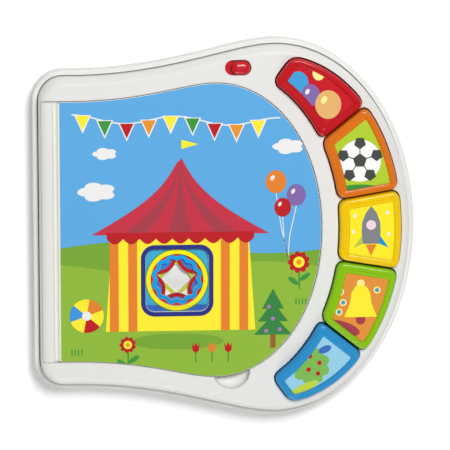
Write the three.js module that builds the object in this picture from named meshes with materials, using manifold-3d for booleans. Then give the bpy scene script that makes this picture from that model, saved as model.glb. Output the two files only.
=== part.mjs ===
// A children's sound book: a moulded housing with a tray that holds a book of thick die-cut
// boards, five arc-set push buttons and a slide switch, and the electronics behind them.
// Millimetres, +Z up, lying on its back, origin under the middle of the housing.

import * as THREE from 'three';
import { mergeVertices } from 'three/addons/utils/BufferGeometryUtils.js';
import Module from 'manifold-3d';

const wasm = await Module();
wasm.setup();

// Housing outline, mirrored about the X axis
const halfWidth = 140.3;
const crestInset = 103.8;
const crestX = halfWidth - crestInset;
const crestHalfHeight = 140.3;
const leftHalfHeight = 118.1;
const leftCornerRadius = 22;
const cornerPull = 0.45;
const sideReach = 80.6;
const crestReach = 57.2;
const waveReach = 30.7;
const waveStartInset = 29.5;
const waveStartX = waveStartInset - halfWidth;
const waveStartReach = 70.6;

// Book boards, mirrored about the X axis, with the widths of the housing round them
const spineBand = 18.5;
const buttonBand = 69.7;
const crestBand = 31.5;
const leftBand = 21.9;
const crestShift = 43.3;
const pageLeft = spineBand - halfWidth;
const pageRight = halfWidth - buttonBand;
const pageCrestX = crestX - crestShift;
const pageCrestHalfHeight = crestHalfHeight - crestBand;
const pageLeftHalfHeight = leftHalfHeight - leftBand;
const pageSideReach = 65.4;
const pageCrestReach = 40.9;
const pageWaveReach = 24;
const pageWaveInset = 8;
const pageWaveStartX = pageLeft + pageWaveInset;
const pageWaveStartReach = 58.1;
const leafThickness = 2.2;
const leafCount = 4;
const leafGroove = 0.4;

// Heights and walls
const standOff = 1.2;
const wall = 2.4;
const rimTop = 19;
const rimWidth = 3.8;
const partingGroove = 0.6;
const shelfWidth = 3.6;
const shelfThickness = 2;
const shelfDrop = 5;
const trayFloorZ = 19.7;
const trayWall = 2;
const trayFloorThickness = 2;
const trayGap = 0.8;
const coverDrop = 0.7;
const shoulderWidth = 7;
const shoulderHeight = 6;
const innerRound = 2;
const seatGap = 0.3;
const fitGap = 0.3;

const pagesBottom = trayFloorZ + seatGap;
const pagesTop = pagesBottom + leafCount * leafThickness;
const coverBottom = pagesTop + seatGap;
const coverTop = coverBottom + leafThickness;
const housingTop = coverTop + coverDrop;
const floorTop = standOff + wall;
const shelfTop = rimTop - shelfDrop;
const shellBottom = shelfTop + seatGap;
const skinBottom = housingTop - wall;

// Die-cut window, one shape in each board down to the last
const windowInset = 86.3;
const windowX = pageLeft + windowInset;
const windowY = -36.5;
const windowSquare = 46.3;
const windowCorner = 6.6;
const circleRadius = 19.4;
const flowerRadius = 14.9;
const flowerLobes = 12;
const flowerWave = 0.9;
const starTip = 16.2;
const starNotch = 5.1;
const starDrop = 1.2;
const diamondHalf = 11.6;
const diamondCorner = 2.2;

// Spine strip along the left of the tray
const spineInset = 5.9;
const spineLeft = spineInset - halfWidth;
const foldWidth = 3.5;
const foldDrop = 2.4;
const tongueThickness = 4;

// Push buttons, between the tray and the outer edge
const bandOuterInset = 11.4;
const bandInnerLand = 13.3;
const buttonGap = 1.6;
const buttonCorner = 7;
const buttonOpeningGap = 0.9;
const buttonRise = 6.5;
const buttonTravel = 3;
const buttonShoulder = 2.2;
const buttonShoulderHeight = 2.8;
const buttonRimWidth = 4.2;
const buttonRimStep = 0.8;
const buttonWall = 2;
const buttonRoof = 2.2;
const skirtClearance = 4.4;
const labelRecess = 0.7;
const labelThickness = 0.5;
const labelGap = 0.2;
const labelInset = { outer: 5.2, inner: 7, upper: 7.2, lower: 5.2 };
const labelCorner = 1;
const wellWall = 1.8;
const wellDepth = 9;
const plungerRadius = 3;
const domeRadius = 5;
const domeHeight = 4.3;
const domeGap = 0.3;

// Cuts between the buttons, from the lower end of the arc to the upper one
const sideCutInset = 36.4;
const sideCutHeight = 26;
const sideCutDegrees = 9.6;
const shoulderCutInset = 55.1;
const shoulderCutDrop = 61.3;
const shoulderCutDegrees = 38.7;
const crestCutShift = 5.2;
const crestCutDrop = 19.8;
const crestCutDegrees = 54;
const upperCuts = [
  { x: halfWidth - sideCutInset, y: sideCutHeight, degrees: sideCutDegrees },
  { x: halfWidth - shoulderCutInset, y: crestHalfHeight - shoulderCutDrop, degrees: shoulderCutDegrees },
  { x: crestX + crestCutShift, y: crestHalfHeight - crestCutDrop, degrees: crestCutDegrees },
];

// Keypad board under the buttons
const boardThickness = 1.6;
const keypadZ = 12;
const keypadEdge = 2;
const postRadius = 3.4;
const smallScrewRadius = 1;
const smallHeadRadius = 2.3;
const smallHeadHeight = 1.6;
const smallScrewLength = 7;

// Finger notch in the lower edge of the tray
const notchShift = 11.1;
const notchOverlap = 4.3;
const notchX = pageCrestX + notchShift;
const notchY = notchOverlap - pageCrestHalfHeight;
const notchRadius = 13.7;
const notchFloorZ = 23;
const notchFloorRadius = 7;
const notchDishShare = 0.72;
const notchDishRise = 1.2;

// Power switch
const switchShift = 27.3;
const switchDrop = 16.4;
const switchX = crestX - switchShift;
const switchLength = 19;
const switchWidth = 11.1;
const knobLength = 14;
const knobWidth = 10;
const knobRise = 2.6;
const knobEndGap = 0.6;
const switchTravel = 4;
const slidePlateLength = 24;
const slidePlateWidth = 11.4;
const slideGap = 0.5;
const slidePlateThickness = 1.5;
const switchBoardLength = 42;
const switchBoardWidth = 9;
const switchBoardDrop = 1.4;
const switchBoardGap = 0.2;
const switchBoardZ = 18.6;
const switchBodyLength = 14;
const switchBodyWidth = 7;
const switchBodyHeight = 4;
const leverSize = 2;
const switchPostRadius = 2.2;
const forkWall = 1.2;

// Speaker on the floor of the rear shell
const speakerX = 24;
const speakerY = 0;
const speakerRadius = 20;
const speakerDepth = 5;
const magnetRadius = 9.5;
const magnetDepth = 4;
const speakerWall = 1.6;
const bracketThickness = 1;
const bracketWidth = 8;
const grilleSlots = 9;
const grilleSlotWidth = 2.2;
const grillePitch = 3.8;
const grilleRadius = 17;

// Three cells in series, in a bay that opens downwards
const bayX = -62;
const bayY = 0;
const cellRadius = 5.15;
const cellLength = 43.4;
const cellNubRadius = 1.9;
const cellNubLength = 1;
const cellPitch = 11.2;
const cellCount = 3;
const contactThickness = 0.4;
const springLength = 3.4;
const springRadius = 3;
const springWire = 0.5;
const springTurns = 3;
const bayWall = 1.8;
const doorThickness = 2.1;
const doorGap = 0.35;
const doorLugWidth = 11;
const doorLugLength = 10;
const doorTongueWidth = 14;
const doorTongueReach = 2.4;
const doorTongueThickness = 1.4;

// Housing screws, driven from below
const bossRadius = 3.6;
const rearBossRadius = 4.4;
const screwRadius = 1.45;
const screwHeadRadius = 2.9;
const screwHeadHeight = 2;
const screwLength = 16;
const screwHoleGap = 0.25;
const counterboreRadius = 3.4;
const counterboreTop = 9;
const cornerScrewInset = 25.3;
const cornerScrewDrop = 13.5;
const middleScrewShift = 68.5;
const middleScrewX = crestX - middleScrewShift;
const middleScrewDrop = 12.5;
const crestScrewDrop = 14.3;
const trayScrewGap = 6.7;
const spineScrewDrop = 18.2;
const spineScrewOffset = pageLeftHalfHeight - spineScrewDrop;
const spineScrewCover = 1.4;

// Rubber feet
const footRadius = 6.5;
const footRecess = 0.8;
const leftFootInset = 28.3;
const leftFootDrop = 34.1;
const rightFootShift = 25.5;
const rightFootDrop = 36.3;

const curveSteps = 9;
const roundSides = 12;
const fineSides = 20;
const screwSides = 8;

const palette = {
  shell: { color: 0xeeeeec, roughness: 0.45 },
  card: { color: 0x5dace4, roughness: 0.55 },
  leaves: { color: 0xf4f2ea, roughness: 0.7 },
  red: { color: 0xc41e28, roughness: 0.35 },
  orange: { color: 0xe87828, roughness: 0.35 },
  yellow: { color: 0xf2c90f, roughness: 0.35 },
  green: { color: 0x8cc428, roughness: 0.35 },
  blue: { color: 0x4b96c0, roughness: 0.35 },
  label: { color: 0xf2e9c8, roughness: 0.5 },
  rubber: { color: 0x3a3a3c, roughness: 0.85 },
  silicone: { color: 0xc9ccd0, roughness: 0.7 },
  board: { color: 0x1f6b3a, roughness: 0.5 },
  resin: { color: 0x141416, roughness: 0.4 },
  steel: { color: 0xb9bcc0, roughness: 0.35, metalness: 1 },
  nickel: { color: 0xd0cdc4, roughness: 0.3, metalness: 1 },
  cone: { color: 0x2b2b2e, roughness: 0.9 },
  cell: { color: 0x39424c, roughness: 0.4 },
};

function toSolid(geometry) {
  const bare = geometry.clone();
  bare.deleteAttribute('normal');
  bare.deleteAttribute('uv');
  const merged = mergeVertices(bare, 1e-4);
  return new wasm.Manifold(new wasm.Mesh({
    numProp: 3,
    vertProperties: Float32Array.from(merged.attributes.position.array),
    triVerts: Uint32Array.from(merged.index.array),
  }));
}

function toGeometry(solid) {
  const mesh = solid.getMesh();
  const geometry = new THREE.BufferGeometry();
  geometry.setAttribute('position', new THREE.BufferAttribute(mesh.vertProperties, 3));
  geometry.setIndex(new THREE.BufferAttribute(mesh.triVerts, 1));
  geometry.computeVertexNormals();
  return geometry;
}

function block(x0, x1, y0, y1, z0, z1) {
  const geometry = new THREE.BoxGeometry(x1 - x0, y1 - y0, z1 - z0);
  geometry.translate((x0 + x1) / 2, (y0 + y1) / 2, (z0 + z1) / 2);
  return toSolid(geometry);
}

function rod(x, y, z0, z1, radius, sides = roundSides) {
  const geometry = new THREE.CylinderGeometry(radius, radius, z1 - z0, sides);
  geometry.rotateX(Math.PI / 2);
  geometry.translate(x, y, (z0 + z1) / 2);
  return toSolid(geometry);
}

// The hole that a screw of one radius passes or bites into
function screwHole(x, y, z0, z1, radius) {
  return rod(x, y, z0, z1, radius + screwHoleGap, screwSides);
}

// A turned solid from a closed half-section of [radius, height] pairs
function turned(section, x, y, sides = roundSides) {
  const points = section.map(([radius, height]) => new THREE.Vector2(radius, height));
  const geometry = new THREE.LatheGeometry(points, sides);
  geometry.rotateX(Math.PI / 2);
  geometry.translate(x, y, 0);
  return toSolid(geometry);
}

function prism(points, z0, z1) {
  const options = { depth: z1 - z0, bevelEnabled: false };
  const geometry = new THREE.ExtrudeGeometry(new THREE.Shape(points), options);
  geometry.translate(0, 0, z0);
  return toSolid(geometry);
}

// A prism with a rounded top edge
function crowned(points, z0, z1, roundWidth, roundHeight, steps = 3) {
  const geometry = new THREE.ExtrudeGeometry(new THREE.Shape(points), {
    depth: z1 - z0 - roundHeight,
    bevelThickness: roundHeight,
    bevelSize: roundWidth,
    bevelOffset: -roundWidth,
    bevelSegments: steps,
  });
  geometry.translate(0, 0, z0);
  const reach = 2 * (halfWidth + crestHalfHeight);
  return toSolid(geometry).subtract(block(-reach, reach, -reach, reach, z0 - 2 * roundHeight, z0));
}

// The same with the rounding at the bottom
function cradled(points, z0, z1, roundWidth, roundHeight, steps = 3) {
  const top = z0 + z1;
  const upright = crowned(points, z0, z1, roundWidth, roundHeight, steps);
  return upright.mirror([0, 0, 1]).translate([0, 0, top]);
}

function offsetPath(points, distance) {
  return points.map((point, i) => {
    const before = points[(i + points.length - 1) % points.length];
    const after = points[(i + 1) % points.length];
    const entering = point.clone().sub(before).normalize();
    const leaving = after.clone().sub(point).normalize();
    const normal = new THREE.Vector2(entering.y + leaving.y, -entering.x - leaving.x).normalize();
    const miter = 1 / Math.max(normal.x * entering.y - normal.y * entering.x, 0.5);
    return point.clone().addScaledVector(normal, distance * miter);
  });
}

// Upper half of an outline, from its right end over the crest to its left end
function upperHalf(o) {
  const corner = o.corner;
  const path = new THREE.Path();
  path.moveTo(o.right, 0);
  path.bezierCurveTo(o.right, o.sideReach, o.crestX + o.crestReach, o.crestY, o.crestX, o.crestY);
  path.bezierCurveTo(o.crestX - o.waveReach, o.crestY, o.waveX + o.waveStartReach, o.leftY, o.waveX, o.leftY);
  path.lineTo(o.left + corner, o.leftY);
  if (corner > 0) {
    const pull = corner * cornerPull;
    path.bezierCurveTo(o.left + pull, o.leftY, o.left, o.leftY - pull, o.left, o.leftY - corner);
  }
  path.lineTo(o.left, 0);
  return path.getPoints(curveSteps);
}

function closedOutline(o) {
  const upper = upperHalf(o);
  const lower = upper.slice(1, -1).reverse().map((p) => new THREE.Vector2(p.x, -p.y));
  return upper.concat(lower);
}

const housingOutline = {
  right: halfWidth,
  left: -halfWidth,
  crestX,
  crestY: crestHalfHeight,
  leftY: leftHalfHeight,
  corner: leftCornerRadius,
  sideReach,
  crestReach,
  waveReach,
  waveX: waveStartX,
  waveStartReach,
};

function boardOutline(left) {
  return {
    right: pageRight,
    left,
    crestX: pageCrestX,
    crestY: pageCrestHalfHeight,
    leftY: pageLeftHalfHeight,
    corner: 0,
    sideReach: pageSideReach,
    crestReach: pageCrestReach,
    waveReach: pageWaveReach,
    waveX: pageWaveStartX,
    waveStartReach: pageWaveStartReach,
  };
}

const housingPath = closedOutline(housingOutline);
const pagePath = closedOutline(boardOutline(pageLeft));
const pocketPath = offsetPath(closedOutline(boardOutline(spineLeft + trayGap)), trayGap);
const shellPath = offsetPath(housingPath, -rimWidth - partingGroove);

function circlePath(x, y, radius, sides = fineSides) {
  return Array.from({ length: sides }, (_, i) => {
    const angle = (2 * Math.PI * i) / sides;
    return new THREE.Vector2(x + radius * Math.cos(angle), y + radius * Math.sin(angle));
  });
}

function roundedRectangle(x, y, width, height, radius, turn = 0) {
  const steps = 4;
  const points = [];
  const corners = [[1, 1], [-1, 1], [-1, -1], [1, -1]];
  corners.forEach(([sx, sy], corner) => {
    for (let i = 0; i <= steps; i += 1) {
      const angle = (corner + i / steps) * (Math.PI / 2);
      const px = sx * (width / 2 - radius) + radius * Math.cos(angle);
      const py = sy * (height / 2 - radius) + radius * Math.sin(angle);
      const point = new THREE.Vector2(x + px, y + py);
      points.push(point.rotateAround(new THREE.Vector2(x, y), turn));
    }
  });
  return points;
}

// Two straight sides with round ends, lying along X
function stadium(x, y, length, width) {
  const steps = 8;
  const straight = (length - width) / 2;
  const radius = width / 2;
  const end = (side) => Array.from({ length: steps + 1 }, (_, i) => {
    const angle = (i / steps - 0.5) * Math.PI + (side < 0 ? Math.PI : 0);
    return new THREE.Vector2(x + side * straight + radius * Math.cos(angle), y + radius * Math.sin(angle));
  });
  return end(1).concat(end(-1));
}

function flowerPath(x, y, radius) {
  const count = flowerLobes * 4;
  return Array.from({ length: count }, (_, i) => {
    const angle = (2 * Math.PI * i) / count;
    const reach = radius + flowerWave * Math.cos(flowerLobes * angle + Math.PI);
    return new THREE.Vector2(x + reach * Math.cos(angle), y + reach * Math.sin(angle));
  });
}

// A five-pointed star with sharp tips and hollow round notches
function starPath(x, y) {
  const star = new THREE.Path();
  const at = (radius, step) => {
    const angle = Math.PI / 2 + (step * Math.PI) / 5;
    return [x + radius * Math.cos(angle), y + radius * Math.sin(angle)];
  };
  star.moveTo(...at(starTip, 0));
  for (let tip = 0; tip < 5; tip += 1) {
    star.quadraticCurveTo(...at(starNotch, 2 * tip + 1), ...at(starTip, 2 * tip + 2));
  }
  const points = star.getPoints(5);
  points.pop();
  return points;
}

// Half the height of an outline at one X
function halfHeightAt(path, x) {
  const end = path.findIndex((p, i) => i > 0 && path[i - 1].x >= x && p.x < x);
  const before = path[end - 1];
  const after = path[end];
  return THREE.MathUtils.mapLinear(x, before.x, after.x, before.y, after.y);
}

const switchY = halfHeightAt(housingPath, switchX) - switchDrop;
const middleScrewY = halfHeightAt(housingPath, middleScrewX) - middleScrewDrop;
const screwPlaces = {
  upper_left: [cornerScrewInset - halfWidth, leftHalfHeight - cornerScrewDrop],
  lower_left: [cornerScrewInset - halfWidth, cornerScrewDrop - leftHalfHeight],
  upper_middle: [middleScrewX, middleScrewY],
  lower_middle: [middleScrewX, -middleScrewY],
  upper_right: [crestX, crestHalfHeight - crestScrewDrop],
  lower_right: [crestX, crestScrewDrop - crestHalfHeight],
  right: [pageRight + trayScrewGap, 0],
};
const footPlaces = {
  upper_left: [leftFootInset - halfWidth, leftHalfHeight - leftFootDrop],
  lower_left: [leftFootInset - halfWidth, leftFootDrop - leftHalfHeight],
  upper_right: [crestX + rightFootShift, crestHalfHeight - rightFootDrop],
  lower_right: [crestX + rightFootShift, rightFootDrop - crestHalfHeight],
};

// Band that the buttons stand in, as open curves from its lower to its upper end
const bandRunBack = 30;

function rightSide(path, crest) {
  const right = path.filter((p) => p.x > crest - bandRunBack);
  const upper = right.filter((p) => p.y >= 0).sort((a, b) => a.y - b.y || b.x - a.x);
  const upperRun = path.slice(0, 2 * curveSteps).filter((p) => upper.includes(p));
  const lowerRun = upperRun.slice(1).reverse().map((p) => new THREE.Vector2(p.x, -p.y));
  return lowerRun.concat(upperRun);
}

const cuts = upperCuts.slice().reverse()
  .map((cut) => ({ x: cut.x, y: -cut.y, degrees: -cut.degrees }))
  .concat(upperCuts);

function aboveCut(cut, point) {
  const angle = THREE.MathUtils.degToRad(cut.degrees);
  return (point.y - cut.y) * Math.cos(angle) - (point.x - cut.x) * Math.sin(angle);
}

// The stretch of an open curve that lies between two heights above two cuts
function stretchBetween(curve, lower, lowerInset, upper, upperInset) {
  const low = (p) => aboveCut(lower, p) - lowerInset;
  const high = (p) => -aboveCut(upper, p) - upperInset;
  const points = [];
  curve.forEach((point, i) => {
    const next = curve[i + 1];
    if (low(point) >= 0 && high(point) >= 0) points.push(point.clone());
    if (!next) return;
    const crossings = [low, high]
      .filter((side) => side(point) * side(next) < 0)
      .map((side) => side(point) / (side(point) - side(next)))
      .sort((a, b) => a - b)
      .map((t) => point.clone().lerp(next, t));
    crossings.forEach((c) => {
      if (low(c) > -1e-6 && high(c) > -1e-6) points.push(c);
    });
  });
  return points;
}

function trimmed(side, length) {
  const cutEnd = (points) => {
    const left = points.slice();
    let remaining = length;
    while (left.length > 2 && left[0].distanceTo(left[1]) < remaining) {
      remaining -= left[0].distanceTo(left[1]);
      left.shift();
    }
    const span = left[0].distanceTo(left[1]);
    left[0] = left[0].clone().lerp(left[1], Math.min(remaining / span, 0.45));
    return left;
  };
  return cutEnd(cutEnd(side).reverse()).reverse();
}

// Joins four sides into one outline with rounded corners
function roundedSides(sides, radius) {
  const shortened = sides.map((side) => trimmed(side, radius));
  const points = [];
  shortened.forEach((side, i) => {
    const next = shortened[(i + 1) % shortened.length];
    const corner = sides[i][sides[i].length - 1];
    const end = side[side.length - 1];
    points.push(...side);
    [0.2, 0.4, 0.6, 0.8].forEach((t) => {
      const a = end.clone().lerp(corner, t);
      points.push(a.lerp(corner.clone().lerp(next[0], t), t));
    });
  });
  return points;
}

function buttonPath(index, inset, radius) {
  const outer = rightSide(offsetPath(housingPath, -bandOuterInset - inset.outer), crestX);
  const inner = rightSide(offsetPath(pagePath, bandInnerLand + inset.inner), pageCrestX);
  const lower = cuts[index];
  const upper = cuts[index + 1];
  const lowerInset = buttonGap / 2 + inset.lower;
  const upperInset = buttonGap / 2 + inset.upper;
  const outerRun = stretchBetween(outer, lower, lowerInset, upper, upperInset);
  const innerRun = stretchBetween(inner, lower, lowerInset, upper, upperInset).reverse();
  const upperRun = [outerRun[outerRun.length - 1], innerRun[0]];
  const lowerRun = [innerRun[innerRun.length - 1], outerRun[0]];
  return roundedSides([outerRun, upperRun, innerRun, lowerRun], radius);
}

// A button's outline drawn in by one distance all round, or grown by a negative one
function evenPath(index, inset) {
  const corner = Math.max(buttonCorner - inset, labelCorner);
  return buttonPath(index, { outer: inset, inner: inset, upper: inset, lower: inset }, corner);
}

function centreOf(points) {
  const sum = points.reduce((total, p) => total.add(p), new THREE.Vector2());
  return sum.divideScalar(points.length);
}

const buttonNames = ['blue', 'green', 'yellow', 'orange', 'red'];
const buttons = buttonNames.map((name, index) => {
  const path = evenPath(index, 0);
  const label = buttonPath(index, labelInset, labelCorner);
  return { name, index, path, label, centre: centreOf(path) };
});
const keypadTop = keypadZ + boardThickness;
const domeTop = keypadTop + domeHeight;
const buttonTop = housingTop + buttonRise;
const skirtBottom = keypadTop + buttonTravel + skirtClearance;
const labelFloor = buttonTop - buttonRimStep - labelRecess;

// The domed skin of the front shell before anything is cut in it
function shellDome() {
  return crowned(shellPath, shellBottom, housingTop, shoulderWidth, shoulderHeight, 3);
}

const bay = (() => {
  const length = cellLength + cellNubLength + springLength + 2 * contactThickness + 4 * fitGap;
  const width = cellCount * cellPitch + 2 * fitGap;
  return {
    x0: bayX - length / 2,
    x1: bayX + length / 2,
    y0: bayY - width / 2,
    y1: bayY + width / 2,
    cellZ: standOff + doorThickness + fitGap + cellRadius,
    roof: standOff + doorThickness + 2 * fitGap + 2 * cellRadius,
  };
})();

function doorPath(grow) {
  const gap = doorGap - grow;
  const lug = doorLugWidth / 2 + grow;
  const lugEnd = bay.x1 + doorLugLength + grow;
  return [
    [bay.x0 + gap, bay.y0 + gap],
    [bay.x1 - gap, bay.y0 + gap],
    [bay.x1 - gap, bayY - lug],
    [lugEnd, bayY - lug],
    [lugEnd, bayY + lug],
    [bay.x1 - gap, bayY + lug],
    [bay.x1 - gap, bay.y1 - gap],
    [bay.x0 + gap, bay.y1 - gap],
  ].map(([x, y]) => new THREE.Vector2(x, y));
}

const doorScrewX = bay.x1 + doorLugLength / 2 + 0.5;
const spineScrewX = (spineLeft + pageLeft - foldWidth) / 2;
const spineScrewSeat = trayFloorZ - trayFloorThickness;
const spineScrewTop = housingTop - foldDrop - spineScrewCover;
const tongueTop = pagesBottom + tongueThickness;
const bracketZ = floorTop + speakerDepth + magnetDepth + 3 * fitGap;
const bracketReach = speakerRadius + speakerWall + postRadius + 1;
const bracketScrews = [
  [speakerX, speakerY + bracketReach],
  [speakerX, speakerY - bracketReach],
];
const plateTop = skinBottom - slideGap;
const plateBottom = plateTop - slidePlateThickness;
const knobX = switchX + (switchLength - knobLength) / 2 - knobEndGap;
const leverTop = plateBottom - 0.6;
const switchBoardTop = switchBoardZ + boardThickness;
const switchBodyZ = switchBoardTop + seatGap / 3;
const leverBottom = switchBodyZ + switchBodyHeight + seatGap / 3;

const keypadPath = (() => {
  const outer = rightSide(offsetPath(housingPath, -bandOuterInset - keypadEdge), crestX);
  const inner = rightSide(offsetPath(pagePath, bandInnerLand + keypadEdge), pageCrestX);
  const first = cuts[0];
  const last = cuts[cuts.length - 1];
  const outerRun = stretchBetween(outer, first, keypadEdge, last, keypadEdge);
  const innerRun = stretchBetween(inner, first, keypadEdge, last, keypadEdge).reverse();
  return outerRun.concat(innerRun);
})();
const keypadScrews = cuts.slice(1, -1);

function frontShell() {
  let shell = shellDome();
  const inside = offsetPath(shellPath, -wall);
  shell = shell.subtract(crowned(inside, shellBottom - 1, skinBottom, innerRound, innerRound, 1));

  const stock = housingTop - wall / 2;
  const tray = prism(offsetPath(pocketPath, trayWall), trayFloorZ - trayFloorThickness, stock);
  shell = shell.add(tray.intersect(shellDome()));
  shell = shell.add(rod(notchX, notchY, notchFloorZ - wall, stock, notchRadius + trayWall, fineSides));
  buttons.forEach((button) => {
    const well = evenPath(button.index, -buttonOpeningGap - wellWall);
    shell = shell.add(prism(well, housingTop - wellDepth, stock).intersect(shellDome()));
  });
  Object.values(screwPlaces).forEach(([x, y]) => {
    shell = shell.add(rod(x, y, shellBottom, stock, bossRadius));
  });
  [-1, 1].forEach((side) => {
    const postX = switchX + side * (switchBoardLength / 2 - 3);
    const postY = switchY - switchBoardDrop;
    shell = shell.add(rod(postX, postY, switchBoardTop + seatGap, stock, switchPostRadius));
  });

  shell = shell.subtract(prism(pocketPath, trayFloorZ, housingTop + 1));
  const notchWall = notchFloorZ + (housingTop - notchFloorZ) / 2;
  shell = shell.subtract(turned([
    [0, notchFloorZ],
    [notchFloorRadius, notchFloorZ],
    [notchFloorRadius + notchDishShare * (notchRadius - notchFloorRadius), notchFloorZ + notchDishRise],
    [notchRadius, notchWall],
    [notchRadius, housingTop + 1],
    [0, housingTop + 1],
  ], notchX, notchY, fineSides));
  buttons.forEach((button) => {
    shell = shell.subtract(prism(evenPath(button.index, -buttonOpeningGap), shellBottom, housingTop + 1));
  });
  const boardY = switchY - switchBoardDrop;
  const boardHalfWidth = switchBoardWidth / 2 + switchBoardGap;
  const boardHalfLength = switchBoardLength / 2 + switchBoardGap;
  shell = shell.subtract(block(
    switchX - boardHalfLength, switchX + boardHalfLength, boardY - boardHalfWidth, boardY + boardHalfWidth,
    switchBoardZ - switchBoardGap, switchBoardTop + switchBoardGap,
  ));
  const slot = stadium(switchX, switchY, switchLength, switchWidth);
  shell = shell.subtract(prism(slot, skinBottom - 1, housingTop + 1));
  Object.values(screwPlaces).forEach(([x, y]) => {
    const top = counterboreTop + screwLength + 1;
    shell = shell.subtract(screwHole(x, y, shellBottom - 1, top, screwRadius));
  });
  [-1, 1].forEach((side) => {
    const y = side * spineScrewOffset;
    shell = shell.subtract(screwHole(spineScrewX, y, trayFloorZ - wall, trayFloorZ + 1, screwRadius));
  });
  return shell;
}

function spineStrip() {
  const foldX = pageLeft - foldWidth;
  const top = housingTop + 1;
  const halfHeight = pageLeftHalfHeight - fitGap;
  let strip = shellDome().intersect(
    block(spineLeft + fitGap, pageLeft - fitGap, -halfHeight, halfHeight, tongueTop + seatGap, top),
  );
  const valley = new THREE.Path();
  valley.moveTo(foldX - foldDrop, housingTop);
  valley.quadraticCurveTo(foldX, housingTop, foldX, housingTop - foldDrop);
  const section = valley.getPoints(4).concat([
    new THREE.Vector2(pageLeft + 1, housingTop - foldDrop),
    new THREE.Vector2(pageLeft + 1, top),
    new THREE.Vector2(foldX - foldDrop, top),
  ]);
  const options = { depth: 2 * halfHeight + 2, bevelEnabled: false };
  const cut = new THREE.ExtrudeGeometry(new THREE.Shape(section), options);
  cut.rotateX(Math.PI / 2);
  cut.translate(0, halfHeight + 1, 0);
  strip = strip.subtract(toSolid(cut));
  [-1, 1].forEach((side) => {
    const y = side * spineScrewOffset;
    strip = strip.subtract(screwHole(spineScrewX, y, tongueTop, spineScrewTop + 0.5, screwRadius));
  });
  return strip;
}

function rearShell() {
  let shell = cradled(housingPath, standOff, rimTop + 4, 6, 7, 2)
    .intersect(crowned(housingPath, standOff - 8, rimTop, 1.6, 1.6, 1));
  const lower = offsetPath(housingPath, -wall);
  const lip = offsetPath(housingPath, -rimWidth);
  const shelf = offsetPath(housingPath, -rimWidth - shelfWidth);
  const shelfBottom = shelfTop - shelfThickness;
  shell = shell.subtract(cradled(lower, floorTop, shelfBottom, 4, 4, 1));
  shell = shell.subtract(prism(shelf, shelfBottom - 0.5, shelfTop + 0.5));
  shell = shell.subtract(prism(lip, shelfTop, rimTop + 1));

  Object.values(screwPlaces).forEach(([x, y]) => {
    shell = shell.add(rod(x, y, standOff + wall / 2, shelfTop, rearBossRadius));
  });
  keypadScrews.forEach(({ x, y }) => {
    shell = shell.add(rod(x, y, standOff + wall / 2, keypadZ - seatGap, postRadius, 12));
  });
  const ringInside = speakerRadius + fitGap;
  const ringTop = floorTop + speakerDepth - 1;
  const ring = rod(speakerX, speakerY, standOff + wall / 2, ringTop, ringInside + speakerWall, fineSides);
  shell = shell.add(ring.subtract(rod(speakerX, speakerY, floorTop, ringTop + 1, ringInside, fineSides)));
  bracketScrews.forEach(([x, y]) => {
    shell = shell.add(rod(x, y, standOff + wall / 2, bracketZ - seatGap, postRadius, 12));
  });
  shell = shell.add(block(
    bay.x0 - bayWall, bay.x1 + bayWall, bay.y0 - bayWall, bay.y1 + bayWall,
    standOff + wall / 2, bay.roof + bayWall,
  ));
  shell = shell.add(block(
    bay.x1, bay.x1 + doorLugLength + 3, bayY - doorLugWidth / 2 - 2, bayY + doorLugWidth / 2 + 2,
    standOff + wall / 2, floorTop + 7,
  ));

  shell = shell.subtract(block(bay.x0, bay.x1, bay.y0, bay.y1, standOff - 1, bay.roof));
  shell = shell.subtract(prism(doorPath(doorGap), standOff - 1, standOff + doorThickness + fitGap));
  shell = shell.subtract(block(
    bay.x0 - doorTongueReach - fitGap, bay.x0 + 1,
    bayY - doorTongueWidth / 2 - fitGap, bayY + doorTongueWidth / 2 + fitGap,
    floorTop, standOff + doorThickness + fitGap + doorTongueThickness + 2 * fitGap + 1,
  ));
  shell = shell.subtract(screwHole(doorScrewX, bayY, standOff, floorTop + 6, smallScrewRadius));
  Object.values(screwPlaces).forEach(([x, y]) => {
    shell = shell.subtract(rod(x, y, standOff - 1, counterboreTop, counterboreRadius, 12));
    shell = shell.subtract(screwHole(x, y, counterboreTop - 1, shelfTop + 1, screwRadius));
  });
  keypadScrews.forEach(({ x, y }) => {
    shell = shell.subtract(screwHole(x, y, floorTop, keypadZ, smallScrewRadius));
  });
  bracketScrews.forEach(([x, y]) => {
    shell = shell.subtract(screwHole(x, y, floorTop, bracketZ, smallScrewRadius));
  });
  for (let i = 0; i < grilleSlots; i += 1) {
    const y = (i - (grilleSlots - 1) / 2) * grillePitch;
    const half = Math.sqrt(grilleRadius ** 2 - y ** 2);
    const slot = roundedRectangle(speakerX, speakerY + y, 2 * half, grilleSlotWidth, grilleSlotWidth / 3);
    shell = shell.subtract(prism(slot, standOff - 1, floorTop + 1));
  }
  Object.values(footPlaces).forEach(([x, y]) => {
    shell = shell.subtract(rod(x, y, standOff - 1, standOff + footRecess, footRadius + fitGap));
  });
  return shell;
}

function speakerBracket() {
  const reach = bracketReach + postRadius;
  const half = bracketWidth / 2;
  const top = bracketZ + bracketThickness;
  const bar = block(speakerX - half, speakerX + half, speakerY - reach, speakerY + reach, bracketZ, top);
  return bracketScrews.reduce(
    (part, [x, y]) => part.subtract(screwHole(x, y, bracketZ - 1, top + 1, smallScrewRadius)),
    bar,
  );
}

function speakerBasket() {
  const z0 = floorTop + fitGap;
  const z1 = z0 + speakerDepth;
  const flange = speakerRadius;
  return turned([
    [flange, z0],
    [flange, z0 + 1.2],
    [flange - 3, z0 + 1.2],
    [magnetRadius + 2, z1],
    [magnetRadius, z1],
    [magnetRadius, z1 + magnetDepth],
    [0, z1 + magnetDepth],
    [0, z1 - 1],
    [magnetRadius + 1, z1 - 1],
    [flange - 4, z0],
    [flange, z0],
  ], speakerX, speakerY, fineSides);
}

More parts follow.
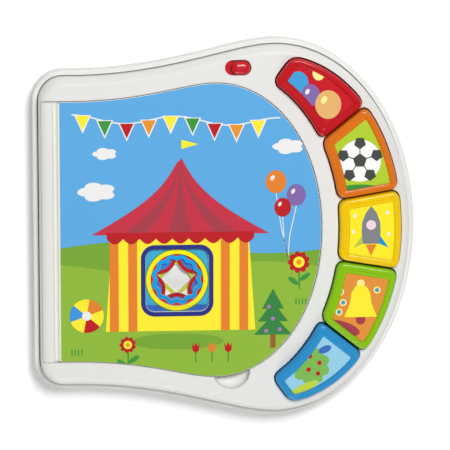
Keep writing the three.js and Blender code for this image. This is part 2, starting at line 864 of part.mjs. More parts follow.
function speakerCone() {
  const z0 = floorTop + fitGap;
  const z1 = z0 + speakerDepth - 1 - fitGap;
  const edge = speakerRadius - 4 - fitGap;
  return turned([
    [edge, z0],
    [7, z1],
    [0, z1],
    [0, z1 - 1.2],
    [6, z1 - 1.2],
    [edge - 1.5, z0],
    [edge, z0],
  ], speakerX, speakerY, fineSides);
}

function coverBoard() {
  const board = prism(pagePath, coverBottom, coverTop);
  const opening = roundedRectangle(windowX, windowY, windowSquare, windowSquare, windowCorner);
  return board.subtract(prism(opening, coverBottom - 1, coverTop + 1));
}

function pages() {
  let stack = prism(pagePath, pagesBottom, pagesTop);
  for (let leaf = 1; leaf < leafCount; leaf += 1) {
    const z = pagesBottom + leaf * leafThickness;
    const ring = prism(offsetPath(pagePath, 1), z - leafGroove / 2, z + leafGroove / 2)
      .subtract(prism(offsetPath(pagePath, -leafGroove * 1.5), z - leafGroove, z + leafGroove));
    stack = stack.subtract(ring);
  }
  const left = spineLeft + fitGap;
  const half = pageLeftHalfHeight - fitGap;
  stack = stack.add(block(left, pageLeft + 2, -half, half, pagesBottom, tongueTop));
  [-1, 1].forEach((side) => {
    const y = side * spineScrewOffset;
    stack = stack.subtract(screwHole(spineScrewX, y, pagesBottom - 1, tongueTop + 1, screwRadius));
  });
  const diamondSide = Math.SQRT2 * diamondHalf;
  const openings = [
    roundedRectangle(windowX, windowY, diamondSide, diamondSide, diamondCorner, Math.PI / 4),
    starPath(windowX, windowY - starDrop),
    flowerPath(windowX, windowY, flowerRadius),
    circlePath(windowX, windowY, circleRadius),
  ];
  openings.forEach((opening, leaf) => {
    const z = pagesBottom + leaf * leafThickness;
    const low = leaf === 0 ? z - 1 : z;
    const high = leaf === leafCount - 1 ? z + leafThickness + 1 : z + leafThickness;
    stack = stack.subtract(prism(opening, low, high));
  });
  return stack;
}

function buttonCap(button) {
  let cap = crowned(button.path, skirtBottom, buttonTop, buttonShoulder, buttonShoulderHeight, 2);
  cap = cap.subtract(prism(evenPath(button.index, buttonRimWidth), buttonTop - buttonRimStep, buttonTop + 1));
  cap = cap.subtract(prism(offsetPath(button.label, labelGap), labelFloor, buttonTop + 1));
  const hollow = evenPath(button.index, buttonWall);
  cap = cap.subtract(prism(hollow, skirtBottom - 1, labelFloor - buttonRoof));
  const { x, y } = button.centre;
  return cap.add(rod(x, y, domeTop + domeGap, labelFloor - buttonRoof / 2, plungerRadius, 12));
}

function buttonLabel(button) {
  const z = labelFloor + seatGap / 3;
  return prism(button.label, z, z + labelThickness);
}

function buttonDome(button) {
  const z = keypadTop + seatGap / 3;
  return turned([
    [0, z],
    [domeRadius, z],
    [domeRadius, z + 0.8],
    [domeRadius - 1, z + 1],
    [plungerRadius, domeTop - 0.3],
    [plungerRadius - 0.4, domeTop],
    [0, domeTop],
  ], button.centre.x, button.centre.y, 10);
}

function keypadBoard() {
  return keypadScrews.reduce(
    (part, { x, y }) => part.subtract(screwHole(x, y, keypadZ - 1, keypadTop + 1, smallScrewRadius)),
    prism(keypadPath, keypadZ, keypadTop),
  );
}

// A pan-head screw whose head seats upwards against seatZ, or downwards when flipped
function panScrew(x, y, seatZ, length, radius, headRadius, headHeight, flipped) {
  const way = flipped ? -1 : 1;
  const section = [
    [0, -headHeight],
    [headRadius, -headHeight],
    [headRadius, 0],
    [radius, 0],
    [radius, length],
    [0, length],
  ].map(([r, z]) => [r, seatZ + way * z]);
  if (flipped) section.reverse();
  return turned(section, x, y, screwSides);
}

function housingScrew(x, y, seatZ, length) {
  return panScrew(x, y, seatZ - 0.1, length, screwRadius, screwHeadRadius, screwHeadHeight, false);
}

function smallScrew(x, y, seatZ, flipped) {
  return panScrew(x, y, seatZ, smallScrewLength, smallScrewRadius, smallHeadRadius, smallHeadHeight, flipped);
}

function batteryDoor() {
  let door = prism(doorPath(0), standOff, standOff + doorThickness);
  door = door.add(block(
    bay.x0 - doorTongueReach, bay.x0 + 2 * contactThickness + 1.2,
    bayY - doorTongueWidth / 2, bayY + doorTongueWidth / 2,
    floorTop + fitGap, floorTop + fitGap + doorTongueThickness,
  ));
  door = door.add(block(
    bay.x0 + doorGap, bay.x0 + 2 * contactThickness + 1.2,
    bayY - doorTongueWidth / 2, bayY + doorTongueWidth / 2,
    standOff + doorThickness / 2, floorTop + fitGap + doorTongueThickness,
  ));
  const head = smallHeadHeight - 0.4;
  door = door.subtract(rod(doorScrewX, bayY, standOff - 1, standOff + head, smallHeadRadius + fitGap, 12));
  return door.subtract(screwHole(doorScrewX, bayY, standOff, floorTop + 2, smallScrewRadius));
}

function cell(index) {
  const way = index % 2 === 0 ? 1 : -1;
  const y = bayY + (index - (cellCount - 1) / 2) * cellPitch;
  const section = [
    [0, 0],
    [cellRadius, 0],
    [cellRadius, cellLength],
    [cellNubRadius, cellLength],
    [cellNubRadius, cellLength + cellNubLength],
    [0, cellLength + cellNubLength],
  ].map(([r, z]) => new THREE.Vector2(r, z));
  const geometry = new THREE.LatheGeometry(section, roundSides);
  geometry.rotateZ(way > 0 ? -Math.PI / 2 : Math.PI / 2);
  const springEnd = contactThickness + springLength + 2 * fitGap;
  geometry.translate(way > 0 ? bay.x0 + springEnd : bay.x1 - springEnd, y, bay.cellZ);
  return toSolid(geometry);
}

class Helix extends THREE.Curve {
  constructor(x, y, z, way) {
    super();
    this.start = new THREE.Vector3(x, y, z);
    this.way = way;
  }

  getPoint(t, target = new THREE.Vector3()) {
    const angle = 2 * Math.PI * springTurns * t;
    const radius = springRadius - 0.35 * springRadius * t;
    return target.set(
      this.start.x + this.way * (springLength - springWire) * t,
      this.start.y + radius * Math.cos(angle),
      this.start.z + radius * Math.sin(angle),
    );
  }
}

// Contact plates stand at both ends of the bay; wayOut is +1 at the end with the larger X
function contactPlate(firstCell, lastCell, wayOut) {
  const cellY = (index) => bayY + (index - (cellCount - 1) / 2) * cellPitch;
  const face = wayOut > 0 ? bay.x1 - fitGap : bay.x0 + fitGap;
  const inner = face - wayOut * contactThickness;
  const halfPlate = cellRadius - 1.4;
  let plate = block(
    Math.min(face, inner), Math.max(face, inner), cellY(firstCell) - halfPlate, cellY(lastCell) + halfPlate,
    bay.cellZ - 2.6, bay.cellZ + 3.6,
  );
  for (let index = firstCell; index <= lastCell; index += 1) {
    const springHere = (index % 2 === 0) === (wayOut < 0);
    if (springHere) {
      const coil = new Helix(inner, cellY(index), bay.cellZ, -wayOut);
      const wire = new THREE.Shape(circlePath(0, 0, springWire, 5));
      const options = { steps: 9 * springTurns, extrudePath: coil, bevelEnabled: false };
      plate = plate.add(toSolid(new THREE.ExtrudeGeometry(wire, options)));
    }
  }
  return plate;
}

function powerSwitch() {
  const plate = stadium(knobX, switchY, slidePlateLength, slidePlateWidth);
  const grip = stadium(knobX, switchY, knobLength, knobWidth);
  let knob = prism(plate, plateBottom, plateTop);
  knob = knob.add(crowned(grip, plateBottom, housingTop + knobRise, 4, knobRise + 1, 4));
  const forkReach = leverSize / 2 + fitGap;
  [-1, 1].forEach((side) => {
    const x = knobX + side * (forkReach + forkWall / 2);
    knob = knob.add(block(
      x - forkWall / 2, x + forkWall / 2, switchY - leverSize, switchY + leverSize,
      leverBottom + 0.6, plateBottom + 0.5,
    ));
  });
  return knob;
}

function switchLever() {
  const half = leverSize / 2;
  return block(knobX - half, knobX + half, switchY - half, switchY + half, leverBottom, leverTop);
}

function switchBody() {
  const x = knobX - switchTravel / 2;
  return block(
    x - switchBodyLength / 2, x + switchBodyLength / 2,
    switchY - switchBodyWidth / 2, switchY + switchBodyWidth / 2, switchBodyZ, switchBodyZ + switchBodyHeight,
  );
}

function switchBoard() {
  return block(
    switchX - switchBoardLength / 2, switchX + switchBoardLength / 2,
    switchY - switchBoardDrop - switchBoardWidth / 2, switchY - switchBoardDrop + switchBoardWidth / 2,
    switchBoardZ, switchBoardTop,
  );
}

function soundChip() {
  const yellow = buttons[2].centre;
  const x = yellow.x;
  const y = yellow.y + domeRadius + 6;
  const z = keypadTop + seatGap / 3;
  return turned([[0, z], [4.5, z], [4, z + 1], [2.5, z + 1.6], [0, z + 1.8]], x, y);
}

function foot([x, y]) {
  const top = standOff + footRecess - seatGap / 3;
  return turned([[0, 0], [footRadius - 0.6, 0], [footRadius, 0.6], [footRadius, top], [0, top]], x, y);
}

const model = new THREE.Group();

function addPart(name, solid, finish) {
  const mesh = new THREE.Mesh(toGeometry(solid), new THREE.MeshStandardMaterial(palette[finish]));
  mesh.name = name;
  model.add(mesh);
}

addPart('rear_shell', rearShell(), 'shell');
addPart('front_shell', frontShell(), 'shell');
addPart('spine_strip', spineStrip(), 'shell');
addPart('pages', pages(), 'leaves');
addPart('cover_board', coverBoard(), 'card');
buttons.forEach((button) => {
  addPart(`button_${button.name}`, buttonCap(button), button.name);
  addPart(`label_${button.name}`, buttonLabel(button), 'label');
  addPart(`dome_${button.name}`, buttonDome(button), 'silicone');
});
addPart('keypad_board', keypadBoard(), 'board');
addPart('sound_chip', soundChip(), 'resin');
keypadScrews.forEach(({ x, y }, i) => {
  addPart(`keypad_screw_${i + 1}`, smallScrew(x, y, keypadTop + 0.1, true), 'steel');
});
addPart('power_switch', powerSwitch(), 'red');
addPart('switch_lever', switchLever(), 'resin');
addPart('switch_body', switchBody(), 'nickel');
addPart('switch_board', switchBoard(), 'board');
addPart('speaker_basket', speakerBasket(), 'steel');
addPart('speaker_cone', speakerCone(), 'cone');
addPart('speaker_bracket', speakerBracket(), 'nickel');
bracketScrews.forEach(([x, y], i) => {
  addPart(`bracket_screw_${i + 1}`, smallScrew(x, y, bracketZ + bracketThickness + 0.1, true), 'steel');
});
addPart('battery_door', batteryDoor(), 'shell');
addPart('battery_door_screw', smallScrew(doorScrewX, bayY, standOff + smallHeadHeight - 0.5, false), 'steel');
for (let index = 0; index < cellCount; index += 1) {
  addPart(`battery_${index + 1}`, cell(index), 'cell');
}
addPart('contact_negative', contactPlate(0, 0, -1), 'nickel');
addPart('contact_link_left', contactPlate(1, 2, -1), 'nickel');
addPart('contact_link_right', contactPlate(0, 1, 1), 'nickel');
addPart('contact_positive', contactPlate(2, 2, 1), 'nickel');
Object.entries(screwPlaces).forEach(([place, [x, y]]) => {
  addPart(`housing_screw_${place}`, housingScrew(x, y, counterboreTop, screwLength), 'steel');
});
[-1, 1].forEach((side) => {
  const name = side > 0 ? 'spine_screw_upper' : 'spine_screw_lower';
  const length = spineScrewTop - spineScrewSeat;
  addPart(name, housingScrew(spineScrewX, side * spineScrewOffset, spineScrewSeat, length), 'steel');
});
Object.entries(footPlaces).forEach(([place, at]) => {
  addPart(`foot_${place}`, foot(at), 'rubber');
});

export default model;
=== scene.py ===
import math

import bpy
from mathutils import Matrix, Vector


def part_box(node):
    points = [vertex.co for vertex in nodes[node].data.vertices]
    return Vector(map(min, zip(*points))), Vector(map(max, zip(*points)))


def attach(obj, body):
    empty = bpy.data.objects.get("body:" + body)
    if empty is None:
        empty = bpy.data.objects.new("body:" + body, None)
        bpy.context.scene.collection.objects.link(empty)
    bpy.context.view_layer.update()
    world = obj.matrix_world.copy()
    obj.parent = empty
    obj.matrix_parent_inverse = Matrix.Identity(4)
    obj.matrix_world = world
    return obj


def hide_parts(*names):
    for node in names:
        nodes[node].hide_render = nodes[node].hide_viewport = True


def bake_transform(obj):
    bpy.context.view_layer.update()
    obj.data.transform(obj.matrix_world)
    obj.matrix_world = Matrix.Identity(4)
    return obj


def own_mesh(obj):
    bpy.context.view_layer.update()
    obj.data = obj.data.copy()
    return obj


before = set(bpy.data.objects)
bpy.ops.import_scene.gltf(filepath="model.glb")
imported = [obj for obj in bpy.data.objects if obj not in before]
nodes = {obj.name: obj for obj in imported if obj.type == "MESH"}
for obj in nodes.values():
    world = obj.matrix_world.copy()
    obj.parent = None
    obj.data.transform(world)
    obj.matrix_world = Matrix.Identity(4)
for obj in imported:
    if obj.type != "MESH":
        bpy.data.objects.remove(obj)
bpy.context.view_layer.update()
mm = 0.001

# Colours, as seen on a screen
def tint(red, green, blue):
    def straight(value):
        value = value / 255
        return value / 12.92 if value <= 0.04045 else ((value + 0.055) / 1.055) ** 2.4
    return (straight(red), straight(green), straight(blue), 1.0)


# Node trees: an input takes a value or another node's output
def setInputs(tree, node, values):
    for socket, value in values.items():
        if isinstance(value, bpy.types.NodeSocket):
            tree.links.new(value, node.inputs[socket])
        else:
            node.inputs[socket].default_value = value


def addNode(tree, kind, values=None, operation=None):
    node = tree.nodes.new(kind)
    if operation:
        node.operation = operation
    setInputs(tree, node, values or {})
    return node.outputs


def maths(tree, operation, *values):
    return addNode(tree, "ShaderNodeMath", dict(enumerate(values)), operation)[0]


def nodeGroup(name, kind, inputs, outputs):
    tree = bpy.data.node_groups.new(name, kind)

    def socket(label, way, content):
        made = tree.interface.new_socket(name=label, in_out=way, socket_type=f"NodeSocket{content}")
        return made.identifier

    sockets = {label: socket(label, "INPUT", content) for label, content in inputs.items()}
    for label, content in outputs.items():
        socket(label, "OUTPUT", content)
    return tree, sockets, addNode(tree, "NodeGroupInput")


# Surfaces: a fine grain over slow changes of shade, or brushed streaks
surfaceOutputs = {"Colour": "Color", "Roughness": "Float", "Normal": "Vector"}


def mouldedTree():
    tree, _, given = nodeGroup("mouldedSurface", "ShaderNodeTree", {
        "Colour": "Color", "Roughness": "Float", "Grain Scale": "Float", "Grain Depth": "Float",
        "Shade": "Float",
    }, surfaceOutputs)
    place = addNode(tree, "ShaderNodeTexCoord")["Object"]
    broad = addNode(tree, "ShaderNodeTexNoise", {"Vector": place, "Scale": 18, "Detail": 2})["Fac"]
    fine = addNode(tree, "ShaderNodeTexNoise", {"Vector": place, "Scale": given["Grain Scale"], "Detail": 3})
    bump = addNode(tree, "ShaderNodeBump", {
        "Strength": given["Grain Depth"], "Distance": 0.0002, "Height": fine["Fac"],
    })
    span = addNode(tree, "ShaderNodeMapRange", {
        "Value": broad, "To Min": 1.0, "To Max": maths(tree, "SUBTRACT", 1.0, given["Shade"]),
    })
    mix = addNode(tree, "ShaderNodeVectorMath", {0: given["Colour"], "Scale": span["Result"]}, "SCALE")
    rough = maths(tree, "MULTIPLY_ADD", broad, 0.06, given["Roughness"])
    addNode(tree, "NodeGroupOutput", {"Colour": mix["Vector"], "Roughness": rough, "Normal": bump["Normal"]})
    return tree


def brushedTree():
    tree, _, given = nodeGroup("brushedMetal", "ShaderNodeTree", {
        "Colour": "Color", "Roughness": "Float",
    }, surfaceOutputs)
    place = addNode(tree, "ShaderNodeTexCoord")["Object"]
    drawn = addNode(tree, "ShaderNodeMapping", {"Vector": place, "Scale": (300, 4000, 300)})["Vector"]
    streak = addNode(tree, "ShaderNodeTexNoise", {"Vector": drawn, "Scale": 1})["Fac"]
    bump = addNode(tree, "ShaderNodeBump", {"Strength": 0.15, "Distance": 0.0001, "Height": streak})
    rough = maths(tree, "MULTIPLY_ADD", streak, 0.15, given["Roughness"])
    addNode(tree, "NodeGroupOutput", {
        "Colour": given["Colour"], "Roughness": rough, "Normal": bump["Normal"],
    })
    return tree


mouldedGroup, brushedGroup = mouldedTree(), brushedTree()


def shaded(name, group, effects, settings):
    made = bpy.data.materials.new(name)
    made.use_nodes = True
    tree = made.node_tree
    effect = tree.nodes.new("ShaderNodeGroup")
    effect.node_tree = group
    setInputs(tree, effect, effects)
    surface = effect.outputs
    setInputs(tree, tree.nodes["Principled BSDF"], {
        "Base Color": surface["Colour"], "Roughness": surface["Roughness"], "Normal": surface["Normal"],
        "Coat Roughness": 0.12, **settings,
    })
    return made


def material(name, colour, roughness, coat, grain, scale, shade, specular=0.5):
    return shaded(name, mouldedGroup, {
        "Colour": tint(*colour), "Roughness": roughness, "Grain Scale": scale, "Grain Depth": grain,
        "Shade": shade,
    }, {"Coat Weight": coat, "Specular IOR Level": specular})


def metal(name, colour, roughness):
    return shaded(name, brushedGroup, {"Colour": tint(*colour), "Roughness": roughness}, {"Metallic": 1.0})


inks = {}


def ink(red, green, blue):
    key = f"ink_{red}_{green}_{blue}"
    if key not in inks:
        inks[key] = material(key, (red, green, blue), 0.55, 0.0, 0.02, 2500, 0.02, 0.2)
    return inks[key]


dull = 0.25
shellLook = material("whiteShell", (230, 230, 227), 0.46, 0.04, 0.04, 1400, 0.015, dull)
rimLook = material("whiteRim", (233, 232, 228), 0.46, 0.04, 0.04, 1400, 0.015, dull)
boardLook = material("boardEdge", (214, 212, 204), 0.7, 0.0, 0.15, 1800, 0.05)
coverLook = material("coverBoard", (232, 231, 226), 0.6, 0.0, 0.12, 1800, 0.04)
tapeLook = material("hingeTape", (238, 236, 226), 0.55, 0.0, 0.2, 2600, 0.05)
switchLook = material("switchRed", (200, 26, 38), 0.28, 0.3, 0.02, 900, 0.03, dull)
buttonColours = {
    "red": (196, 18, 28), "orange": (224, 116, 20), "yellow": (244, 202, 0), "green": (138, 196, 12),
    "blue": (44, 146, 206),
}
buttonLooks = {
    name: material(f"{name}Button", colour, 0.24, 0.2, 0.01, 900, 0.02, dull)
    for name, colour in buttonColours.items()
}

# Meshes, drawn in millimetres
def meshObject(name, verts, faces):
    mesh = bpy.data.meshes.new(name)
    mesh.from_pydata([(x * mm, y * mm, z * mm) for x, y, z in verts], [], faces)
    mesh.update()
    made = bpy.data.objects.new(name, mesh)
    bpy.context.scene.collection.objects.link(made)
    return made


def skin(name, rings):
    count, last = len(rings[0]), len(rings) - 1
    faces = [tuple(reversed(range(count)))]
    for r in range(last):
        for i in range(count):
            j = (i + 1) % count
            faces.append((r * count + i, r * count + j, (r + 1) * count + j, (r + 1) * count + i))
    faces.append(tuple(range(last * count, (last + 1) * count)))
    return meshObject(name, [point for ring in rings for point in ring], faces)


def loft(name, rings):
    return skin(name, [[(x, y, z) for x, y in points] for points, z in rings])


def prism(name, points, z0, z1):
    return loft(name, [(points, z0), (points, z1)])


def lathe(name, section, x, y, sides):
    return loft(name, [(circle(x, y, radius, sides), z) for radius, z in section])


def rod(x, y, z0, z1, radius, sides=32):
    return prism("rod", circle(x, y, radius, sides), z0, z1)


def rods(places, z0, z1, radius, sides=32):
    return [rod(x, y, z0, z1, radius, sides) for x, y in places]


def block(x0, x1, y0, y1, z0, z1):
    return prism("block", rectangle(x0, x1, y0, y1), z0, z1)


def baked(obj):
    graph = bpy.context.evaluated_depsgraph_get()
    mesh = bpy.data.meshes.new_from_object(obj.evaluated_get(graph))
    old = obj.data
    obj.modifiers.clear()
    obj.data = mesh
    bpy.data.meshes.remove(old)
    return obj


def combine(target, tools, operation):
    for tool in tools:
        change = target.modifiers.new("carve", "BOOLEAN")
        change.operation = operation
        change.solver = "EXACT"
        change.object = tool
    baked(target)
    for tool in tools:
        bpy.data.objects.remove(tool)
    return target


def carve(target, tools):
    return combine(target, tools, "DIFFERENCE")


def join(target, tools):
    return combine(target, tools, "UNION")


def paint(obj, look):
    obj.data.materials.clear()
    obj.data.materials.append(look)
    for face in obj.data.polygons:
        face.material_index = 0


def finished(obj, name, look, angle=32):
    obj.name = name
    obj.data.name = name
    paint(obj, look)
    obj.data.shade_smooth()
    obj.data.set_sharp_from_angle(angle=math.radians(angle))
    weigh = obj.modifiers.new("weigh", "WEIGHTED_NORMAL")
    weigh.keep_sharp = True
    baked(obj)


# Outlines
def moved(points, x, y, turn=0.0):
    c, s = math.cos(turn), math.sin(turn)
    return [(x + px * c - py * s, y + px * s + py * c) for px, py in points]


def aim(radius, angle):
    return radius * math.cos(angle), radius * math.sin(angle)


def turns(sides):
    return [2 * math.pi * i / sides for i in range(sides)]


def quarter(steps):
    return [i / steps * math.pi / 2 for i in range(steps + 1)]


def bend(a, b, c, t):
    return tuple((1 - t) ** 2 * p + 2 * t * (1 - t) * q + t * t * r for p, q, r in zip(a, b, c))


def bezier(a, b, c, d, steps):
    def at(t):
        u = 1 - t
        weights = (u ** 3, 3 * u * u * t, 3 * u * t * t, t ** 3)
        return tuple(sum(w * point[k] for w, point in zip(weights, (a, b, c, d))) for k in (0, 1))
    return [at(i / steps) for i in range(steps)]


def rectangle(x0, x1, y0, y1):
    return [(x0, y0), (x1, y0), (x1, y1), (x0, y1)]


def ellipse(x, y, rx, ry, sides=48, turn=0.0):
    return moved([(rx * math.cos(a), ry * math.sin(a)) for a in turns(sides)], x, y, turn)


def circle(x, y, radius, sides=64):
    return ellipse(x, y, radius, radius, sides)


def roundedSquare(x, y, size, radius, turn=0.0):
    straight = size / 2 - radius
    points = []
    for corner, (sx, sy) in enumerate([(1, 1), (-1, 1), (-1, -1), (1, -1)]):
        for a in quarter(8):
            px, py = aim(radius, corner * math.pi / 2 + a)
            points.append((sx * straight + px, sy * straight + py))
    return moved(points, x, y, turn)


def stadium(x, y, length, width):
    straight, radius = (length - width) / 2, width / 2
    points = []
    for side, begin in ((1, -0.5), (-1, 0.5)):
        for i in range(17):
            px, py = aim(radius, (i / 16 + begin) * math.pi)
            points.append((x + side * straight + px, y + py))
    return points


def starPath(x, y, tip, notch):
    points = []
    for arm in range(5):
        corners = ((tip, 2 * arm), (notch, 2 * arm + 1), (tip, 2 * arm + 2))
        a, b, c = (aim(radius, math.pi / 2 + k * math.pi / 5) for radius, k in corners)
        points += [bend(a, b, c, i / 8) for i in range(8)]
    return moved(points, x, y)


def waveRing(x, y, radius, depth=0.9, lobes=12):
    return moved([aim(radius + depth * math.cos(lobes * a + math.pi), a) for a in turns(144)], x, y)


def scalloped(x, y, rx, ry, lobes, depth):
    points = []
    for a in turns(120):
        reach = 1 + depth * abs(math.sin(lobes * a / 2))
        points.append((x + rx * reach * math.cos(a), y + ry * reach * math.sin(a)))
    return points


def offset(points, distance):
    shifted = []
    count = len(points)
    for i, point in enumerate(points):
        here = Vector(point)
        entering = (here - Vector(points[i - 1])).normalized()
        leaving = (Vector(points[(i + 1) % count]) - here).normalized()
        normal = Vector((entering.y + leaving.y, -entering.x - leaving.x)).normalized()
        miter = 1 / max(normal.x * entering.y - normal.y * entering.x, 0.5)
        shifted.append(tuple(here + normal * distance * miter))
    return shifted


def ringsOf(path, section):
    return [(offset(path, -inset), z) for inset, z in section]


def rounding(path, z, width, height, steps):
    return ringsOf(path, [(width * (1 - math.cos(a)), z + height * math.sin(a)) for a in quarter(steps)])


# The housing and the boards share one way of drawing a wavy end
housing = {
    "right": 140.3, "left": -140.3, "crestX": 36.5, "crestY": 140.3, "leftY": 118.1, "corner": 22,
    "sideReach": 80.6, "crestReach": 57.2, "waveReach": 30.7, "waveX": -110.8, "waveStart": 70.6,
}
board = {
    "right": 70.6, "left": -121.8, "crestX": -6.8, "crestY": 108.8, "leftY": 96.2, "corner": 0,
    "sideReach": 65.4, "crestReach": 40.9, "waveReach": 24, "waveX": -113.8, "waveStart": 58.1,
}
outlineSteps = 36
trayLeft, trayGap, shellInset = -133.9, 0.5, 4.4


def closedOutline(o):
    right, left, top, corner = o["right"], o["left"], o["leftY"], o["corner"]
    crest, waveEnd = (o["crestX"], o["crestY"]), (o["waveX"], top)
    beside, before = (o["crestX"] + o["crestReach"], o["crestY"]), (o["crestX"] - o["waveReach"], o["crestY"])
    upper = bezier((right, 0), (right, o["sideReach"]), beside, crest, outlineSteps)
    upper += bezier(crest, before, (o["waveX"] + o["waveStart"], top), waveEnd, outlineSteps)
    upper.append(waveEnd)
    if corner:
        pull = corner * 0.45
        upper += bezier(
            (left + corner, top), (left + pull, top), (left, top - pull), (left, top - corner), 12,
        )
    upper.append((left, top - corner))
    upper += [(left, top * k / 4) for k in (3, 2, 1) if top * k / 4 < top - corner - 1]
    return upper + [(left, 0)] + [(x, -y) for x, y in reversed(upper[1:])]


housingPath = closedOutline(housing)
boardPath = closedOutline(board)
pocketPath = offset(closedOutline({**board, "left": trayLeft}), trayGap)
shellPath = offset(housingPath, -shellInset)

# Buttons stand between two outlines, parted by slanting cuts: x, y and angle
bandCuts = [(103.9, 26, 9.6), (85.2, 79, 38.7), (41.7, 120.5, 54)]
bandCuts = [(x, -y, -angle) for x, y, angle in reversed(bandCuts)] + bandCuts
buttonRow = {
    "outerInset": 11.4, "innerInset": 13.3, "halfGap": 0.8, "corner": 7, "leastCorner": 1.5, "runBack": 30,
}
labelInsets, labelCorner = (5.2, 7, 7.2, 5.2), 1.6


def rightSide(path, crest):
    upper = [p for p in path[:outlineSteps * 2 + 1] if p[0] > crest - buttonRow["runBack"]]
    return [(x, -y) for x, y in reversed(upper[1:])] + upper


def aboveCut(cut, point):
    angle = math.radians(cut[2])
    return (point[1] - cut[1]) * math.cos(angle) - (point[0] - cut[0]) * math.sin(angle)


def stretch(curve, lower, lowInset, upper, highInset):
    def low(p):
        return aboveCut(lower, p) - lowInset

    def high(p):
        return -aboveCut(upper, p) - highInset

    points = []
    for here, after in zip(curve, curve[1:] + [None]):
        if low(here) >= 0 and high(here) >= 0:
            points.append(here)
        if after is None:
            break
        for t in sorted(f(here) / (f(here) - f(after)) for f in (low, high) if f(here) * f(after) < 0):
            point = (here[0] + (after[0] - here[0]) * t, here[1] + (after[1] - here[1]) * t)
            if low(point) > -1e-6 and high(point) > -1e-6:
                points.append(point)
    return points


def resample(points, inset, count):
    lengths = [0]
    for a, b in zip(points, points[1:]):
        lengths.append(lengths[-1] + math.dist(a, b))
    total = lengths[-1]
    inset = min(inset, total * 0.45)
    found = []
    for i in range(count):
        want = inset + (total - inset - inset) * i / (count - 1)
        k = next(j for j in range(1, len(points)) if lengths[j] >= want - 1e-9)
        t = (want - lengths[k - 1]) / max(lengths[k] - lengths[k - 1], 1e-9)
        a, b = points[k - 1], points[k]
        found.append((a[0] + (b[0] - a[0]) * t, a[1] + (b[1] - a[1]) * t))
    return found


def buttonPath(index, insets, radius):
    outer = rightSide(offset(housingPath, -buttonRow["outerInset"] - insets[0]), housing["crestX"])
    inner = rightSide(offset(boardPath, buttonRow["innerInset"] + insets[1]), board["crestX"])
    lower, upper, gap = bandCuts[index], bandCuts[index + 1], buttonRow["halfGap"]
    outerRun, innerRun = (
        stretch(run, lower, gap + insets[3], upper, gap + insets[2]) for run in (outer, inner)
    )
    innerRun.reverse()
    sides = [outerRun, [outerRun[-1], innerRun[0]], innerRun, [innerRun[-1], outerRun[0]]]
    short = [resample(side, radius, 18) for side in sides]
    points = []
    for i, side in enumerate(short):
        following = short[(i + 1) % len(short)]
        points += side + [bend(side[-1], sides[i][-1], following[0], k / 8) for k in range(1, 8)]
    return points


def evenPath(index, inset):
    return buttonPath(index, (inset,) * 4, max(buttonRow["corner"] - inset, buttonRow["leastCorner"]))


def labelPath(index, grow=0):
    return buttonPath(index, [inset - grow for inset in labelInsets], labelCorner + grow)


buttonNames = ["blue", "green", "yellow", "orange", "red"]
labelPaths = [labelPath(i) for i in range(5)]
print("outlines ready")

# Repeats, made by node trees: copies on points, and the speaker's slots
def spread(tree, given, points, piece, values):
    copies = addNode(tree, "GeometryNodeInstanceOnPoints", {"Points": points, "Instance": piece, **values})
    real = addNode(tree, "GeometryNodeRealizeInstances", {"Geometry": copies["Instances"]})
    painted = addNode(tree, "GeometryNodeSetMaterial", {
        "Geometry": real["Geometry"], "Material": given["Material"],
    })
    addNode(tree, "NodeGroupOutput", {"Geometry": painted["Geometry"]})


def vectorOf(tree, values):
    return addNode(tree, "ShaderNodeCombineXYZ", values)["Vector"]


def placedTree():
    tree, sockets, given = nodeGroup("placedCopies", "GeometryNodeTree", {
        "Geometry": "Geometry", "Piece": "Object", "Material": "Material", "Turn Step": "Float",
    }, {"Geometry": "Geometry"})
    piece = addNode(tree, "GeometryNodeObjectInfo", {"Object": given["Piece"]})["Geometry"]
    order = addNode(tree, "GeometryNodeInputIndex")["Index"]
    about = vectorOf(tree, {"Z": maths(tree, "MULTIPLY", order, given["Turn Step"])})
    spread(tree, given, given["Geometry"], piece, {"Rotation": about})
    return tree, sockets


def slotTree():
    tree, sockets, given = nodeGroup("roundGrille", "GeometryNodeTree", {
        "Geometry": "Geometry", "Count": "Int", "Pitch": "Float", "Radius": "Float", "Width": "Float",
        "Height": "Float", "Material": "Material",
    }, {"Geometry": "Geometry"})

    def product(a, b):
        return maths(tree, "MULTIPLY", a, b)

    span = product(maths(tree, "SUBTRACT", given["Count"], 1), given["Pitch"])
    row = addNode(tree, "GeometryNodeMeshLine", {
        "Count": given["Count"], "Start Location": vectorOf(tree, {"Y": product(span, -0.5)}),
        "Offset": vectorOf(tree, {"Y": given["Pitch"]}),
    })
    where = addNode(tree, "GeometryNodeInputPosition")[0]
    across = addNode(tree, "ShaderNodeSeparateXYZ", {0: where})["Y"]
    reach = maths(tree, "SUBTRACT", product(given["Radius"], given["Radius"]), product(across, across))
    bar = addNode(tree, "GeometryNodeMeshCube", {
        "Size": vectorOf(tree, {"X": 1, "Y": given["Width"], "Z": given["Height"]}),
    })
    scale = vectorOf(tree, {"X": product(maths(tree, "SQRT", reach), 2.0), "Y": 1, "Z": 1})
    spread(tree, given, row["Mesh"], bar["Mesh"], {"Scale": scale})
    return tree, sockets


def grown(obj, tree, sockets, values):
    change = obj.modifiers.new("grow", "NODES")
    change.node_group = tree
    for name, value in values.items():
        change[sockets[name]] = value
    return baked(obj)


copyTree, copySockets = placedTree()
grilleTree, grilleSockets = slotTree()

